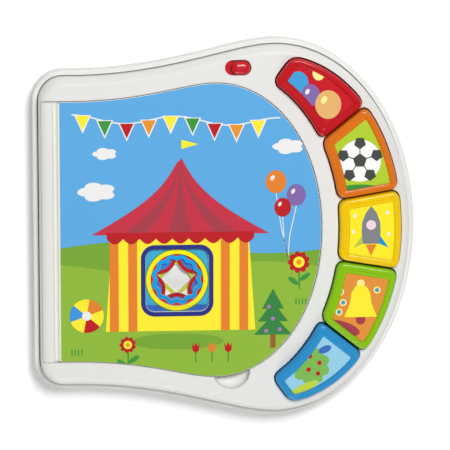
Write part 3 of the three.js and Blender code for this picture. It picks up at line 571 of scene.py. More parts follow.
# Screws, all of one make and two lengths
metalLook = metal("zincSteel", (186, 188, 192), 0.3)
screwHead = {"radius": 2.9, "height": 2.0, "shank": 1.45, "slot": 0.8}
screwPlaces = {
    "upper_left": (-115, 104.6), "lower_left": (-115, -104.6), "upper_middle": (-32, 114.5),
    "lower_middle": (-32, -114.5), "upper_right": (36.5, 126), "lower_right": (36.5, -126),
    "right": (77.3, 0),
}
housingScrews = list(screwPlaces.values())
spineScrews = [(-129.85, 78), (-129.85, -78)]
keypadScrews = [(x, y) for x, y, _ in bandCuts[1:-1]]
speakerX = 24
bracketScrews = [(speakerX, 26), (speakerX, -26)]
clearHole, threadHole = 1.7, 1.25


def screwShape(length):
    radius, height, shank = screwHead["radius"], screwHead["height"], screwHead["shank"]
    body = lathe("screw", [
        (0.6, -height), (radius * 0.55, -height * 0.97), (radius * 0.85, -height * 0.7),
        (radius, -height * 0.3), (radius, -0.1), (radius - 0.1, 0), (shank, 0), (shank, length - 1.4),
        (0.3, length),
    ], 0, 0, 32)
    arm, half = radius * 0.62, screwHead["slot"] / 2
    for x, y in ((arm, half), (half, arm)):
        carve(body, [block(-x, x, -y, y, -height - 1, -height + 0.9)])
    return body


def screwSet(name, places, length, replaced):
    shape = screwShape(length)
    points = meshObject(name, places, [])
    grown(points, copyTree, copySockets, {"Piece": shape, "Material": metalLook, "Turn Step": 0.83})
    bpy.data.objects.remove(shape)
    finished(points, name, metalLook, 40)
    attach(points, "housing")
    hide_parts(*replaced)


screwSet("housingScrews", [(x, y, 8.9) for x, y in housingScrews], 16,
         [f"housing_screw_{place}" for place in screwPlaces])
screwSet("spineScrews", [(x, y, 17.6) for x, y in spineScrews], 10.4,
         ["spine_screw_upper", "spine_screw_lower"])
print("screws ready")

# Rear shell: a tub with a raised rim
rear = {
    "bottom": 1.2, "floor": 3.6, "wall": 2.4, "rim": 19.0, "rimWidth": 3.8, "shelf": 14.0,
    "shelfWidth": 3.6, "bossFoot": 2.4,
    "feet": [(-112, 84), (-112, -84), (62, 104), (62, -104)], "footWell": 6.8,
}
bay = {"left": -86.9, "right": -37.1, "half": 17.1, "wall": 1.8, "tab": 5.85, "doorGap": 0.35}
speakerRing = {"outer": 21.9, "inner": 20.3, "top": 7.6}
grille = {
    "Count": 9, "Pitch": 3.8 * mm, "Radius": 17 * mm, "Width": 2.2 * mm, "Height": 6 * mm,
    "Material": rimLook,
}
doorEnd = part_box("battery_door")[1].x / mm
doorScrewX = sum(end.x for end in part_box("battery_door_screw")) / 2 / mm


def doorPath(inset):
    left, right, end = bay["left"] + inset, bay["right"] - inset, doorEnd + bay["doorGap"] - inset
    half, tab = bay["half"] - inset, bay["tab"] - inset
    return [
        (left, -half), (right, -half), (right, -tab), (end, -tab), (end, tab), (right, tab), (right, half),
        (left, half),
    ]


def rearShell():
    rim, lip, shelf, floor, wall = rear["rim"], rear["rimWidth"], rear["shelf"], rear["floor"], rear["wall"]
    ledge, root = lip + rear["shelfWidth"], rear["bossFoot"]
    left, right, half, side = bay["left"], bay["right"], bay["half"], bay["wall"]
    rings = ringsOf(housingPath, [
        (6 * (1 - math.sin(a)), rear["bottom"] + 7 * (1 - math.cos(a))) for a in quarter(8)
    ])
    rings += rounding(housingPath, rim - 1.6, 1.6, 1.6, 6)
    rings += ringsOf(housingPath, [
        (lip - 0.5, rim), (lip - 0.15, rim - 0.15), (lip, rim - 0.5), (lip, shelf), (ledge, shelf),
        (ledge, shelf - 2), (wall, shelf - 2.4), (wall, floor + 4), (wall + 4, floor),
    ])
    shell = loft("rear", rings)
    bosses = rods(housingScrews, root, shelf, 4.4) + rods(keypadScrews, root, 11.7, 3.4)
    bosses += rods(bracketScrews, root, 13.2, 3.4)
    bosses.append(carve(rod(speakerX, 0, root, speakerRing["top"], speakerRing["outer"], 64), [
        rod(speakerX, 0, 1, 9, speakerRing["inner"], 64),
    ]))
    bosses += [
        block(left - side, right + side, -half - side, half + side, root, 16),
        block(-38, -24.1, -7.5, 7.5, root, 10.6),
    ]
    join(shell, bosses)
    tools = rods(housingScrews, 0, 9, 3.4) + rods(housingScrews, 8, 15, clearHole, 16)
    tools += rods(keypadScrews, floor, 12, threadHole, 16) + rods(bracketScrews, floor, 14, threadHole, 16)
    tools += rods(rear["feet"], 0, 2.0, rear["footWell"])
    tools += [
        block(left, right, -half, half, 0, 14.2), prism("door", doorPath(0), 0, floor),
        block(-89.6, -85.9, -7.3, 7.3, floor, 6.6), rod(doorScrewX, 0, 1.2, 9.6, threadHole, 16),
    ]
    bars = grown(meshObject("grille", [(0, 0, 0)], []), grilleTree, grilleSockets, grille)
    bars.data.transform(Matrix.Translation((speakerX * mm, 0, root * mm)))
    carve(shell, tools + [bars])
    finished(shell, "rearShell", rimLook)
    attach(shell, "housing")
    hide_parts("rear_shell")


rearShell()
print("rear shell ready")

# Battery door with finger ribs
def batteryDoor():
    gap = bay["doorGap"]
    door = loft("door", [(doorPath(gap + 0.3), 1.2), (doorPath(gap), 1.5), (doorPath(gap), 3.3)])
    join(door, [block(-89.3, -84.9, -7, 7, 3.9, 5.3), block(-86.5, -84.9, -7, 7, 2.3, 5.3)])
    ribs = [block(-84 + 2.4 * i, -83 + 2.4 * i, -8, 8, 0.5, 1.55) for i in range(5)]
    carve(door, ribs + [rod(doorScrewX, 0, 0, 2.4, 2.6), rod(doorScrewX, 0, 1, 4, threadHole, 16)])
    finished(door, "batteryDoor", rimLook)
    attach(door, "housing")
    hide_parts("battery_door")


batteryDoor()

# Front shell: a domed skin with a sunk tray and wells for the buttons
front = {
    "bottom": 14.3, "top": 32.0, "shoulder": (7, 6), "wall": 2.4, "tray": 19.7, "lip": 1.3,
    "notch": (4.3, -104.5), "notchRadius": 15.7, "slot": (9.2, 120.1), "slotSize": (19, 11.1),
    "guideY": 118.7, "guideReach": 18,
}
notchSection = [
    (0.5, 23.0), (7, 23.0), (9.5, 23.3), (11.8, 24.2), (13.1, 25.7), (13.7, 27.5), (13.7, 31.2),
    (13.85, 31.6), (14.2, 31.9), (14.5, 32.0), (14.5, 34),
]


def flared(name, path, z0, lip):
    top = front["top"]
    rings = [(path, z0), (path, top - lip)]
    rings += ringsOf(path, [
        (-lip * (1 - math.cos(a)), top - lip + lip * math.sin(a)) for a in quarter(4)[1:]
    ])
    rings.append((rings[-1][0], top + 2))
    return loft(name, rings)


def domeRings():
    width, height = front["shoulder"]
    return rounding(shellPath, front["top"] - height, width, height, 12)


def dome(name):
    return loft(name, [(shellPath, front["bottom"])] + domeRings())


def frontShell():
    top, bottom, tray, wall = front["top"], front["bottom"], front["tray"], front["wall"]
    ceiling, stock = top - wall, top - 1.2
    inner = [(wall + 2, ceiling), (wall, ceiling - 2), (wall, bottom), (0, bottom)]
    shell = loft("front", ringsOf(shellPath, inner) + domeRings())
    add = [prism("tray", offset(pocketPath, 2), tray - 2, stock)]
    add.append(rod(*front["notch"], 20.6, stock, front["notchRadius"]))
    add += [prism("well", evenPath(i, -2.7), top - 9, stock) for i in range(5)]
    add += rods(housingScrews, bottom, stock, 3.6)
    slotX, reach = front["slot"][0], front["guideReach"]
    add += rods([(slotX + way * reach, front["guideY"]) for way in (-1, 1)], 20.5, stock, 2.2)
    join(shell, [combine(tool, [dome("limit")], "INTERSECT") for tool in add])
    tools = [flared("pocket", pocketPath, tray, front["lip"])]
    tools += [flared("opening", evenPath(i, -0.9), 10, 0.6) for i in range(5)]
    tools.append(flared("slot", stadium(*front["slot"], *front["slotSize"]), 28.6, 0.8))
    tools.append(lathe("dish", notchSection, *front["notch"], 64))
    tools += rods(housingScrews, 14, 26, clearHole, 16) + rods(spineScrews, 17, 21, clearHole, 16)
    carve(shell, tools)
    finished(shell, "frontShell", shellLook)
    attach(shell, "housing")
    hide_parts("front_shell")


frontShell()
print("front shell ready")

# Spine strip, with the valley that the cover's fold lies in
spine = {"left": -134.2, "right": -122.1, "half": 96.3, "foot": 24.3, "valleyLeft": -128.4, "fold": -125.3}


def spineStrip():
    strip = dome("strip")
    limit = block(spine["left"], spine["right"], -spine["half"], spine["half"], spine["foot"], 33)
    combine(strip, [limit], "INTERSECT")
    edge, fold, top = spine["valleyLeft"], spine["fold"], front["top"]
    radius, depth = 2.6, 2.4
    section = [(edge, top + 2), (edge, top)]
    section += [
        (fold - radius + radius * math.sin(a), top - depth * (1 - math.cos(a))) for a in quarter(6)[1:]
    ]
    section += [(-121, top - depth), (-121, top + 2)]
    valley = skin("valley", [[(x, y, z) for x, z in section] for y in (97, -97)])
    carve(strip, [valley] + rods(spineScrews, 23, 28.7, clearHole, 16))
    finished(strip, "spineStrip", shellLook, 40)
    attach(strip, "housing")
    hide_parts("spine_strip")


spineStrip()


# Cloth tape, from the strip over the fold to the cover
tape = {"half": 95.4, "rows": 12, "thickness": 0.2, "line": [
    (-125.2, 29.85), (-124.4, 29.8), (-123.6, 29.95), (-122.9, 30.45), (-122.4, 31.1), (-122.0, 31.5),
    (-121.4, 31.62), (-120.9, 31.62),
]}


def hingeTape():
    line, half, rows = tape["line"], tape["half"], tape["rows"]
    dense = []
    for a, b in zip(line, line[1:]):
        dense += [(a[0] + (b[0] - a[0]) * k / 3, a[1] + (b[1] - a[1]) * k / 3) for k in range(3)]
    dense.append(line[-1])
    loop = dense + [(x, z + tape["thickness"]) for x, z in reversed(dense)]
    sheet = skin("hingeTape", [
        [(x, half - 2 * half * row / rows, z) for x, z in loop] for row in range(rows + 1)
    ])
    finished(sheet, "hingeTape", tapeLook, 50)
    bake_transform(sheet)


hingeTape()
print("spine ready")

# The die-cut window: one opening in each board, smaller and smaller
windowCentre = (-35.5, -36.5)
window = {
    "square": 46.3, "circle": 19.4, "flower": 14.9, "tip": 16.2, "notch": 5.1, "drop": 1.2, "diamond": 16.4,
}
cuts = {
    "square": roundedSquare(*windowCentre, window["square"], 6.6),
    "circle": circle(*windowCentre, window["circle"], 96),
    "flower": waveRing(*windowCentre, window["flower"]),
    "star": starPath(windowCentre[0], windowCentre[1] - window["drop"], window["tip"], window["notch"]),
    "diamond": roundedSquare(*windowCentre, window["diamond"], 2.2, math.pi / 4),
}
stack = {
    "bottom": 20.0, "leaf": 2.2, "openings": ["diamond", "star", "flower", "circle"], "round": 0.35,
    "tongueLeft": -134.1, "tongueRight": -119.8, "tongueHalf": 95.9, "tongueTop": 24.0,
}
cover = {"bottom": 29.1, "top": 31.3, "round": 0.3}


def leafTop(count):
    return stack["bottom"] + stack["leaf"] * count


def leaves():
    section, tools = [], []
    last = len(stack["openings"]) - 1
    for leaf, name in enumerate(stack["openings"]):
        z, top = leafTop(leaf), leafTop(leaf + 1)
        groove = 0.05 if leaf < last else 0
        section += [(stack["round"], z), (0, z + 0.3), (0, top - 0.3), (stack["round"], top - groove)]
        tools.append(prism(name, cuts[name], z - 1 if leaf == 0 else z, top + 1 if leaf == last else top))
    bound = loft("leaves", ringsOf(boardPath, section))
    half, low, high = stack["tongueHalf"], stack["bottom"], stack["tongueTop"]
    tongue = block(stack["tongueLeft"], stack["tongueRight"], -half, half, low, high)
    join(bound, [carve(tongue, rods(spineScrews, 19, 25, clearHole, 16))])
    carve(bound, tools)
    finished(bound, "leaves", boardLook)
    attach(bound, "housing")
    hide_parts("pages")


leaves()


def coverBoard():
    low, high, inset = cover["bottom"], cover["top"], cover["round"]
    lid = loft("cover", ringsOf(boardPath, [
        (inset, low), (0, low + inset), (0, high - inset), (inset, high),
    ]))
    carve(lid, [prism("square", cuts["square"], low - 1, high + 1)])
    finished(lid, "coverBoard", coverLook)
    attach(lid, "cover")
    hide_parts("cover_board")


coverBoard()
print("boards ready")

# Printed sheets: flat fields of colour, laid one on another
class PrintedSheet:
    def __init__(self, base, step=0.05, ply=0.035, centre=(0, 0)):
        self.base, self.step, self.ply, self.centre = base, step, ply, centre
        self.verts, self.faces, self.marks, self.looks = [], [], [], []

    def add(self, points, level, look):
        points = moved(points, *self.centre)
        area = sum(a[0] * b[1] - b[0] * a[1] for a, b in zip(points, points[1:] + points[:1]))
        points = points if area > 0 else points[::-1]
        if look not in self.looks:
            self.looks.append(look)
        z0 = self.base + level * self.step
        first, count = len(self.verts), len(points)
        self.verts += [(x, y, z) for z in (z0, z0 + self.ply) for x, y in points]
        faces = [tuple(reversed(range(count))), tuple(range(count, 2 * count))]
        faces += [(i, (i + 1) % count, count + (i + 1) % count, count + i) for i in range(count)]
        self.faces += [tuple(first + k for k in face) for face in faces]
        self.marks += [self.looks.index(look)] * len(faces)

    def build(self, name, outline, holes, body):
        sheet = meshObject(name, self.verts, self.faces)
        for look in self.looks:
            sheet.data.materials.append(look)
        for face, mark in zip(sheet.data.polygons, self.marks):
            face.material_index = mark
        low, high = self.base - 0.1, self.base + 0.5
        region = prism("region", outline, low, high)
        carve(region, [prism("hole", hole, low - 1, high + 1) for hole in holes])
        combine(sheet, [region], "INTERSECT")
        sheet.name = name
        sheet.data.name = name
        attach(sheet, body)


def band(points, width):
    left, right = [], []
    for i, point in enumerate(points):
        a, b = Vector(points[max(i - 1, 0)]), Vector(points[min(i + 1, len(points) - 1)])
        way = (b - a).normalized()
        across = Vector((-way.y, way.x)) * width / 2
        left.append(tuple(Vector(point) + across))
        right.append(tuple(Vector(point) - across))
    return left + right[::-1]


def sector(x, y, radius, start, end):
    arc = [aim(radius, math.radians(start + (end - start) * i / 14)) for i in range(15)]
    return [(x, y)] + moved(arc, x, y)


def pentagon(radius):
    return [aim(radius, math.pi / 2 + a) for a in turns(5)]


def ground(y, depth, length, shift=0):
    crest = [(-125 + 2 * i, y + depth * math.sin(i / length + shift)) for i in range(101)]
    return crest + [(80, -112), (-125, -112)]


sky, grass, farGrass = ink(93, 172, 228), ink(144, 186, 59), ink(120, 168, 52)
red, deepRed, sunny, navy = ink(200, 50, 70), ink(168, 60, 75), ink(255, 238, 50), ink(40, 48, 130)
white, cord, treeGreen = ink(240, 240, 238), ink(235, 150, 40), ink(52, 132, 66)
orangeInk, purple, brown = ink(232, 130, 44), ink(132, 104, 172), ink(150, 100, 50)
signalRed, leafGreen, lilac = ink(190, 24, 32), ink(60, 150, 60), ink(176, 120, 180)
cream, ash = ink(255, 240, 150), ink(70, 72, 70)

# Cover picture: a striped tent on a green, with bunting, balloons and a ball
printLift, printInset, printEdge = 0.02, 0.3, 0.32
printPath, printLimit = offset(boardPath, -printInset), offset(boardPath, -printEdge)
coverHole = offset(cuts["square"], 0.15)
tent = {"left": -88, "right": 22, "eaves": -2, "foot": -74, "peakX": -33, "rise": 56, "pleat": 17}


def coverPicture():
    sheet = PrintedSheet(cover["top"] + printLift)
    sheet.add(printPath, 0, sky)
    sheet.add(ground(-12, 5, 17), 1, farGrass)
    sheet.add(ground(-27, 4, 13, 2), 2, grass)
    for x, y, size in ((-94, 30, 11), (46, 62, 9), (-88, 58, 7)):
        sheet.add(scalloped(x, y, size, size * 0.5, 5, 0.3), 1, white)

    left, right, eaves, foot = tent["left"], tent["right"], tent["eaves"], tent["foot"]
    peakX, rise, pleat = tent["peakX"], tent["rise"], tent["pleat"]

    def seam(start, t):
        reach = start - peakX
        return start - reach * t - 0.22 * reach * math.sin(math.pi * t), eaves + rise * t

    sheet.add([(left, foot), (right, foot), (right - 5, eaves), (left + 5, eaves)], 3, sunny)
    for k in (0, 1, 6, 7):
        x = left + 3 + 13.6 * k
        sheet.add(rectangle(x, x + 6.5, foot, eaves), 4, orangeInk)
    slope = [
        (right + 10 - 64 * t - 11 * math.sin(math.pi * t), eaves + rise * t)
        for t in (k / 16 for k in range(17))
    ]
    sheet.add(slope + [(2 * peakX - x, y) for x, y in reversed(slope[:-1])], 5, red)
    for k in (-2, 0, 2):
        near, far = peakX + pleat * (k + 0.5), peakX + pleat * (k - 0.5)
        lean = [seam(near, i / 16) for i in range(16)] + [seam(far, i / 16) for i in range(15, -1, -1)]
        sheet.add(lean, 6, deepRed)
    scallops = [(peakX + 54 - k * 2, eaves - 3 - 4 * abs(math.sin(k * math.pi / 6))) for k in range(55)]
    sheet.add([(peakX + 54, eaves + 1.5)] + scallops + [(peakX - 54, eaves + 1.5)], 7, signalRed)
    sheet.add(rectangle(-33.7, -32.3, 52, 68), 7, brown)
    sheet.add([(-32.3, 68), (-20, 64.5), (-32.3, 61)], 7, sunny)
    sheet.add(roundedSquare(*windowCentre, 53.2, 10), 7, navy)
    sheet.add(ellipse(windowCentre[0], -82, 34, 6), 3, farGrass)

    line = [(-112 + 4 * i, 87 - 6 * math.sin(i / 9.5 * math.pi / 2) ** 2 - i * 0.1) for i in range(39)]
    sheet.add(band(line, 1.0), 2, white)
    flags = [sunny, leafGreen, signalRed, cord]
    for k in range(9):
        x, y = line[2 + 4 * k]
        sheet.add([(x - 5, y), (x + 5, y), (x, y - 11)], 4, flags[k % 4])
        sheet.add([(x - 6.2, y + 0.6), (x + 6.2, y + 0.6), (x, y - 13.2)], 3, white)
    bunch = ((37, 36, 8.5, 4, orangeInk), (52, 26, 8, 4, purple), (42, 17, 7, 5, signalRed))
    for x, y, size, level, look in bunch:
        sheet.add(band([(x, y - size), (x + (44 - x) * 0.6, (y - 34) / 2), (46, -20)], 0.6), 3, white)
        sheet.add(ellipse(x, y, size * 0.88, size), level, look)
        sheet.add(ellipse(x - size * 0.3, y + size * 0.35, size * 0.16, size * 0.26, 20, -0.5), 6, white)
    ball = (-102, -62, 12.5)
    sheet.add(circle(*ball), 4, sunny)
    for k, look in enumerate((orangeInk, ink(62, 150, 220), signalRed)):
        sheet.add(sector(*ball, 120 * k + 20, 120 * k + 80), 5, look)
    sheet.add(circle(ball[0], ball[1], 3.4, 32), 6, white)
    for x, y, size in ((54, -24, 8), (-72, -84, 6)):
        sheet.add(band([(x, y), (x + 0.5, y - 20)], 1.1), 3, leafGreen)
        sheet.add(ellipse(x + 4.5, y - 11, 4.6, 1.8, 24, 0.6), 4, leafGreen)
        sheet.add(ellipse(x - 4, y - 14, 4.6, 1.8, 24, 2.5), 4, leafGreen)
        sheet.add(scalloped(x, y, size * 0.8, size * 0.8, 9, 0.28), 5, signalRed)
        sheet.add(circle(x, y, size * 0.52, 32), 6, sunny)
        sheet.add(circle(x, y, size * 0.24, 24), 7, cord)
    sheet.add(rectangle(33, 37, -88, -76), 3, brown)
    for k, (y, half) in enumerate(((-78, 14), (-68, 11), (-58.5, 8))):
        sheet.add([(35 - half, y), (35 + half, y), (35, y + 15)], 4 + k, treeGreen)
    for x, y in ((30, -75), (40, -74), (35, -66), (32, -57)):
        sheet.add(circle(x, y, 1.5, 20), 7, lilac)
    tulip = [(-3, 5), (-1.5, 2), (0, 5), (1.5, 2), (3, 5), (2.4, -1), (0, -3), (-2.4, -1)]
    for x, look in ((-22, signalRed), (-10, orangeInk), (2, signalRed)):
        sheet.add(band([(x, -98), (x, -89)], 0.9), 3, leafGreen)
        sheet.add(moved(tulip, x, -88), 4, look)
    for x0, y in ((-113.4, -91.5), (51.6, -55.7)):
        for x in (x0 + 2.4 * k for k in range(4)):
            sheet.add(rectangle(x, x + 0.9, y, y + 4.4), 4, leafGreen)
    sheet.build("coverPicture", printLimit, [coverHole], "cover")


coverPicture()
print("cover picture ready")

# Rings printed round each opening, seen through the one above
def windowPrints():
    x, y = windowCentre
    levels = [
        ("topLeafPrint", 4, "square", "circle", [
            (roundedSquare(x, y, 60, 2), ink(62, 170, 210)),
            (rectangle(x - 30, x + 30, y - 30, y - 18.6), ink(58, 104, 190)),
            (circle(x, y, window["circle"] + 3.9, 96), leafGreen),
            (circle(x, y, window["circle"] + 3.2, 96), ink(255, 236, 8)),
        ]),
        ("secondLeafPrint", 3, "circle", "flower", [
            (circle(x, y, 22), ink(198, 54, 28)), (waveRing(x, y, 18.2), ink(0, 160, 230)),
        ]),
        ("thirdLeafPrint", 2, "flower", "star", [
            (circle(x, y, 19), ink(56, 120, 200)), (offset(cuts["star"], 2.8), ink(185, 22, 30)),
        ]),
        ("fourthLeafPrint", 1, "star", "diamond", [
            (circle(x, y, 19), ink(238, 238, 236)),
            (roundedSquare(x, y, window["diamond"] + 5, 3, math.pi / 4), ink(200, 212, 40)),
        ]),
    ]
    for name, count, outside, inside, fields in levels:
        sheet = PrintedSheet(leafTop(count) + printLift)
        for level, (points, look) in enumerate(fields):
            sheet.add(points, level, look)
        sheet.build(name, offset(cuts[outside], -0.05), [offset(cuts[inside], 0.05)], "housing")


windowPrints()
print("window prints ready")

# Inner page and inside of the cover, seen once the cover is open
def openPages():
    page = PrintedSheet(leafTop(4) + printLift, 0.04, 0.03)
    page.add(printPath, 0, ink(120, 200, 228))
    page.add(ground(-46, 3, 5), 1, ink(48, 92, 180))
    page.add(circle(30, 40, 16), 1, sunny)
    page.add(scalloped(-80, 52, 16, 7, 7, 0.35), 1, white)
    page.add([(-104, -50), (-66, -50), (-74, -64), (-96, -64)], 2, orangeInk)
    page.add([(-86, -46), (-86, -10), (-66, -46)], 2, signalRed)
    page.build("innerPagePrint", printLimit, [offset(cuts["square"], 0.02)], "housing")
    inside = PrintedSheet(cover["bottom"] - 0.08, 0.02, 0.03)
    inside.add(printPath, 0, ink(252, 226, 120))
    inside.build("coverLining", printLimit, [coverHole], "cover")


openPages()
print("inner pages ready")

# Buttons with stepped rims and sunk labels
button = {
    "top": 38.5, "skirt": 20.9, "shoulder": (2.1, 2.4), "ledge": 0.45, "step": 0.8, "recess": 0.7,
    "wall": 2.0, "stem": 3.0,
}


def pushButton(index, name):
    top, skirt, wall = button["top"], button["skirt"], button["wall"]
    width, height = button["shoulder"]
    step = top - button["step"]
    floor = step - button["recess"]
    section = [(wall, floor - 2.2), (wall, skirt), (0.2, skirt), (0, skirt + 0.3)]
    section += [
        (width * (1 - math.cos(a)), top - button["ledge"] - height * (1 - math.sin(a))) for a in quarter(8)
    ]
    section += [
        (width + 0.05, top - 0.12), (width + 0.25, top), (3.9, top), (4.15, top - 0.08), (4.3, top - 0.3),
        (4.4, top - 0.7), (4.65, step),
    ]
    rings = [(evenPath(index, inset), z) for inset, z in section]
    rings += [
        (labelPath(index, 0.3), step), (labelPath(index, 0.1), step - 0.15), (labelPaths[index], floor + 0.3),
        (labelPaths[index], floor),
    ]
    cap = loft(name, rings)
    low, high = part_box(f"dome_{name}")
    centre = (low + high) / 2 / mm
    join(cap, [rod(centre.x, centre.y, high.z / mm + 0.3, floor - 1.1, button["stem"], 24)])
    finished(cap, f"{name}Button", buttonLooks[name], 30)
    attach(cap, f"{name}_button")
    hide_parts(f"button_{name}")
    return floor


# Label pictures, drawn round the label's middle: outline, level and ink
balloons = [
    (ellipse(-14, 8, 7.5, 8.5), 1, ink(62, 160, 220)), (ellipse(-5, -1, 7, 8), 2, purple),
    (ellipse(8, -8, 9.5, 10.5), 3, ink(232, 180, 110)), (ellipse(1, 15, 4.5, 5.2), 3, cream),
    (ellipse(5, -4.5, 2, 3, 24, -0.5), 4, cream), (ellipse(-7.2, 1.6, 1.4, 2.2, 24, -0.5), 4, white),
]
football = [(circle(0, -1, 15.5), 1, ink(250, 250, 248)), (moved(pentagon(5.4), 0, -1), 2, ash)]
for turn in (math.pi / 2 + a for a in turns(5)):
    (px, py), seamLine = aim(13, turn), [aim(5, turn), aim(9, turn)]
    football += [
        (moved(pentagon(4.6), px, py - 1, math.pi), 2, ash), (band(moved(seamLine, 0, -1), 0.7), 3, ash),
    ]
football.append((ellipse(0, -21, 13, 2.4), 1, leafGreen))
hull = [(0, 19), (4, 14), (6.6, 7), (7, 0), (6, -9), (-6, -9), (-7, 0), (-6.6, 7), (-4, 14)]
rocket = [
    (hull, 2, ink(128, 132, 136)), ([(6, -2), (13, -12), (6, -9)], 1, ink(0, 150, 210)),
    ([(-6, -2), (-13, -12), (-6, -9)], 1, ink(190, 200, 60)), (circle(0, 5, 3.6, 32), 3, ink(244, 214, 228)),
    ([(-4, -9.6), (4, -9.6), (0, -18)], 1, orangeInk),
]
rocket += [(circle(px, py, 1.3, 16), 1, white) for px, py in ((-12, 12), (12, 14), (13, -2), (-13, 0))]
bellShape = [
    (0, 14), (4, 13), (7, 8), (8, 0), (11, -7), (12, -10), (-12, -10), (-11, -7), (-8, 0), (-7, 8), (-4, 13),
]
bell = [
    (moved(bellShape, 2, 0), 2, sunny), (circle(2, -12, 3.6, 32), 1, deepRed),
    (ellipse(2, 15, 3, 3), 1, cream),
]
for px, py in ((-13, 9), (-11, 1), (-14, -6), (14, 10)):
    bell += [(circle(px, py, 2.6, 28), 1, cream), (circle(px, py, 1.6, 24), 2, ink(62, 160, 200))]
bell.append((ellipse(-12, -18, 14, 5, 32, -0.3), 1, deepRed))
fruit = ((-9, 5), (-3, 9), (4, 4), (-4, -1), (3, -4))
fruitTree = [
    (rectangle(-5, 0, -18, -2), 1, brown), (scalloped(-2.5, 2, 12, 12, 9, 0.2), 2, ink(124, 186, 84)),
]
fruitTree += [(circle(px, py, 1.7, 20), 3, signalRed) for px, py in fruit]
fruitTree += [
    (ellipse(-10, -17, 15, 3.6, 32, 0.5), 3, ink(190, 214, 70)),
    (ellipse(8, 14, 5, 2.6, 24, 0.4), 3, ink(60, 110, 190)),
]
labelArt = {
    "red": ((200, 12, 32), balloons),
    "orange": ((178, 208, 48), football),
    "yellow": ((255, 236, 40), rocket),
    "green": ((228, 146, 56), bell),
    "blue": ((150, 208, 232), fruitTree),
}
for index, name in enumerate(buttonNames):
    floor = pushButton(index, name)
    base, fields = labelArt[name]
    path = labelPaths[index]
    label = prism(f"{name}Label", offset(path, -0.1), floor + 0.05, floor + 0.3)
    finished(label, f"{name}Label", ink(*base))
    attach(label, f"{name}_button")
    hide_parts(f"label_{name}")
    middle = (sum(x for x, y in path) / len(path), sum(y for x, y in path) / len(path))
    art = PrintedSheet(floor + 0.27, centre=middle)
    for field in fields:
        art.add(*field)
    art.build(f"{name}LabelPicture", offset(path, -0.12), [], f"{name}_button")
print("buttons ready")

# Slide switch
switch = {"centre": (11.1, 120.1), "plate": (24, 11.4), "grip": (14, 10), "round": (4.4, 3.4), "top": 34.6}


def slideSwitch():
    x, y = switch["centre"]
    length, width = switch["plate"]
    knob = loft("knob", [
        (stadium(x, y, length, width), 27.6), (stadium(x, y, length, width), 28.9),
        (stadium(x, y, length - 0.4, width - 0.4), 29.1),
    ])
    length, width = switch["grip"]
    inset, height = switch["round"]
    rings = [(stadium(x, y, length, width), 28)]
    for a in quarter(10):
        less = 2 * inset * (1 - math.cos(a))
        rings.append((stadium(x, y, length - less, width - less), switch["top"] - height * (1 - math.sin(a))))
    join(knob, [loft("grip", rings)])
    join(knob, [block(x + s - 0.6, x + s + 0.6, y - 2, y + 2, 25.0, 28.4) for s in (-1.9, 1.9)])
    finished(knob, "switchKnob", switchLook, 35)
    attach(knob, "switch")
    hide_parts("power_switch")


slideSwitch()

# Finishes of what is kept as built
finishes = {
    "dome_": material("siliconeDome", (200, 204, 208), 0.7, 0.0, 0.1, 900, 0.05),
    "keypad_board": material("boardGreen", (30, 104, 58), 0.4, 0.3, 0.08, 1600, 0.12),
    "switch_board": material("smallBoardGreen", (30, 104, 58), 0.4, 0.3, 0.08, 1600, 0.12),
    "sound_chip": material("blackResin", (22, 22, 24), 0.35, 0.2, 0.1, 900, 0.1),
    "switch_lever": material("leverBlack", (26, 26, 28), 0.45, 0.0, 0.1, 900, 0.1),
    "switch_body": metal("switchCan", (208, 205, 196), 0.28),
    "speaker_basket": metal("basketSteel", (150, 152, 156), 0.4),
    "speaker_cone": material("blackCone", (38, 38, 42), 0.9, 0.0, 0.4, 700, 0.15),
    "speaker_bracket": metal("bracketSteel", (190, 190, 186), 0.3),
    "contact_": metal("nickelContact", (208, 204, 192), 0.25),
    "foot_": material("greyRubber", (54, 54, 58), 0.85, 0.0, 0.3, 1500, 0.12),
    "keypad_screw": metalLook, "bracket_screw": metalLook, "battery_door_screw": metalLook,
}
for place, cell in enumerate(("first", "second", "third"), 1):
    finishes[f"battery_{place}"] = material(f"{cell}CellWrap", (58, 68, 78), 0.35, 0.3, 0.03, 900, 0.05)
for name, node in nodes.items():
    if node.hide_render:
        continue
    paint(node, next(look for start, look in finishes.items() if name.startswith(start)))
    if name.startswith("dome_"):
        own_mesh(node)
print("finishes ready")

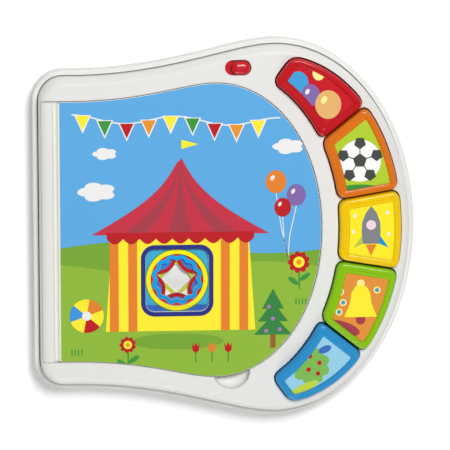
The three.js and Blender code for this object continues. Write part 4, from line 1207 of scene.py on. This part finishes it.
# Floor, lamps and camera
floorReach, floorHeight = 4000, -0.1
lamps = {"keyLamp": ((0.36, 1.06, 2.18), 0.85, 46.5), "fillLamp": ((-0.3, -1.65, 0.75), 0.8, 13.0)}
view = {"target": (0.0006, 0.0022, 0.019), "leanX": 4.5, "leanY": 10, "distance": 2.5, "lens": 272}
studioLight = {"floorLift": 0.07, "ambient": 0.18, "seen": 0.82}


def studio():
    whole = (1, 1, 1, 1)
    corners = rectangle(-floorReach, floorReach, -floorReach, floorReach)
    floor = meshObject("floor", [(x, y, floorHeight) for x, y in corners], [(0, 1, 2, 3)])
    pale = bpy.data.materials.new("paleFloor")
    pale.use_nodes = True
    tree = pale.node_tree
    direct = addNode(tree, "ShaderNodeLightPath")["Is Camera Ray"]
    setInputs(tree, tree.nodes["Principled BSDF"], {
        "Base Color": whole, "Roughness": 0.9, "Specular IOR Level": 0.1, "Emission Color": whole,
        "Emission Strength": maths(tree, "MULTIPLY", direct, studioLight["floorLift"]),
    })
    floor.data.materials.append(pale)

    world = bpy.data.worlds.new("studio")
    bpy.context.scene.world = world
    world.use_nodes = True
    tree = world.node_tree
    direct = addNode(tree, "ShaderNodeLightPath")["Is Camera Ray"]
    setInputs(tree, tree.nodes["Background"], {
        "Color": whole,
        "Strength": maths(tree, "MULTIPLY_ADD", direct, studioLight["seen"], studioLight["ambient"]),
    })

    for name, (place, size, power) in lamps.items():
        lamp = bpy.data.lights.new(name, "AREA")
        lamp.shape = "DISK"
        lamp.size = size
        lamp.energy = power
        holder = bpy.data.objects.new(name, lamp)
        holder.location = place
        holder.rotation_euler = (-Vector(place)).to_track_quat("-Z", "Y").to_euler()
        bpy.context.scene.collection.objects.link(holder)

    lean = [math.tan(math.radians(view[axis])) for axis in ("leanX", "leanY")]
    back = Vector((-lean[0], lean[1], 1)).normalized()
    across = Vector((0, 1, 0)).cross(back).normalized()
    camera = bpy.data.cameras.new("camera")
    camera.lens = view["lens"]
    camera.sensor_width = 36
    camera.clip_end = 20
    eye = bpy.data.objects.new("camera", camera)
    axes = Matrix((across, back.cross(across), back)).transposed().to_4x4()
    eye.matrix_world = Matrix.Translation(Vector(view["target"]) + back * view["distance"]) @ axes
    bpy.context.scene.collection.objects.link(eye)
    bpy.context.scene.camera = eye


studio()
settings = bpy.context.scene.view_settings
settings.view_transform = "Standard"
settings.look = "None"
print("scene ready")
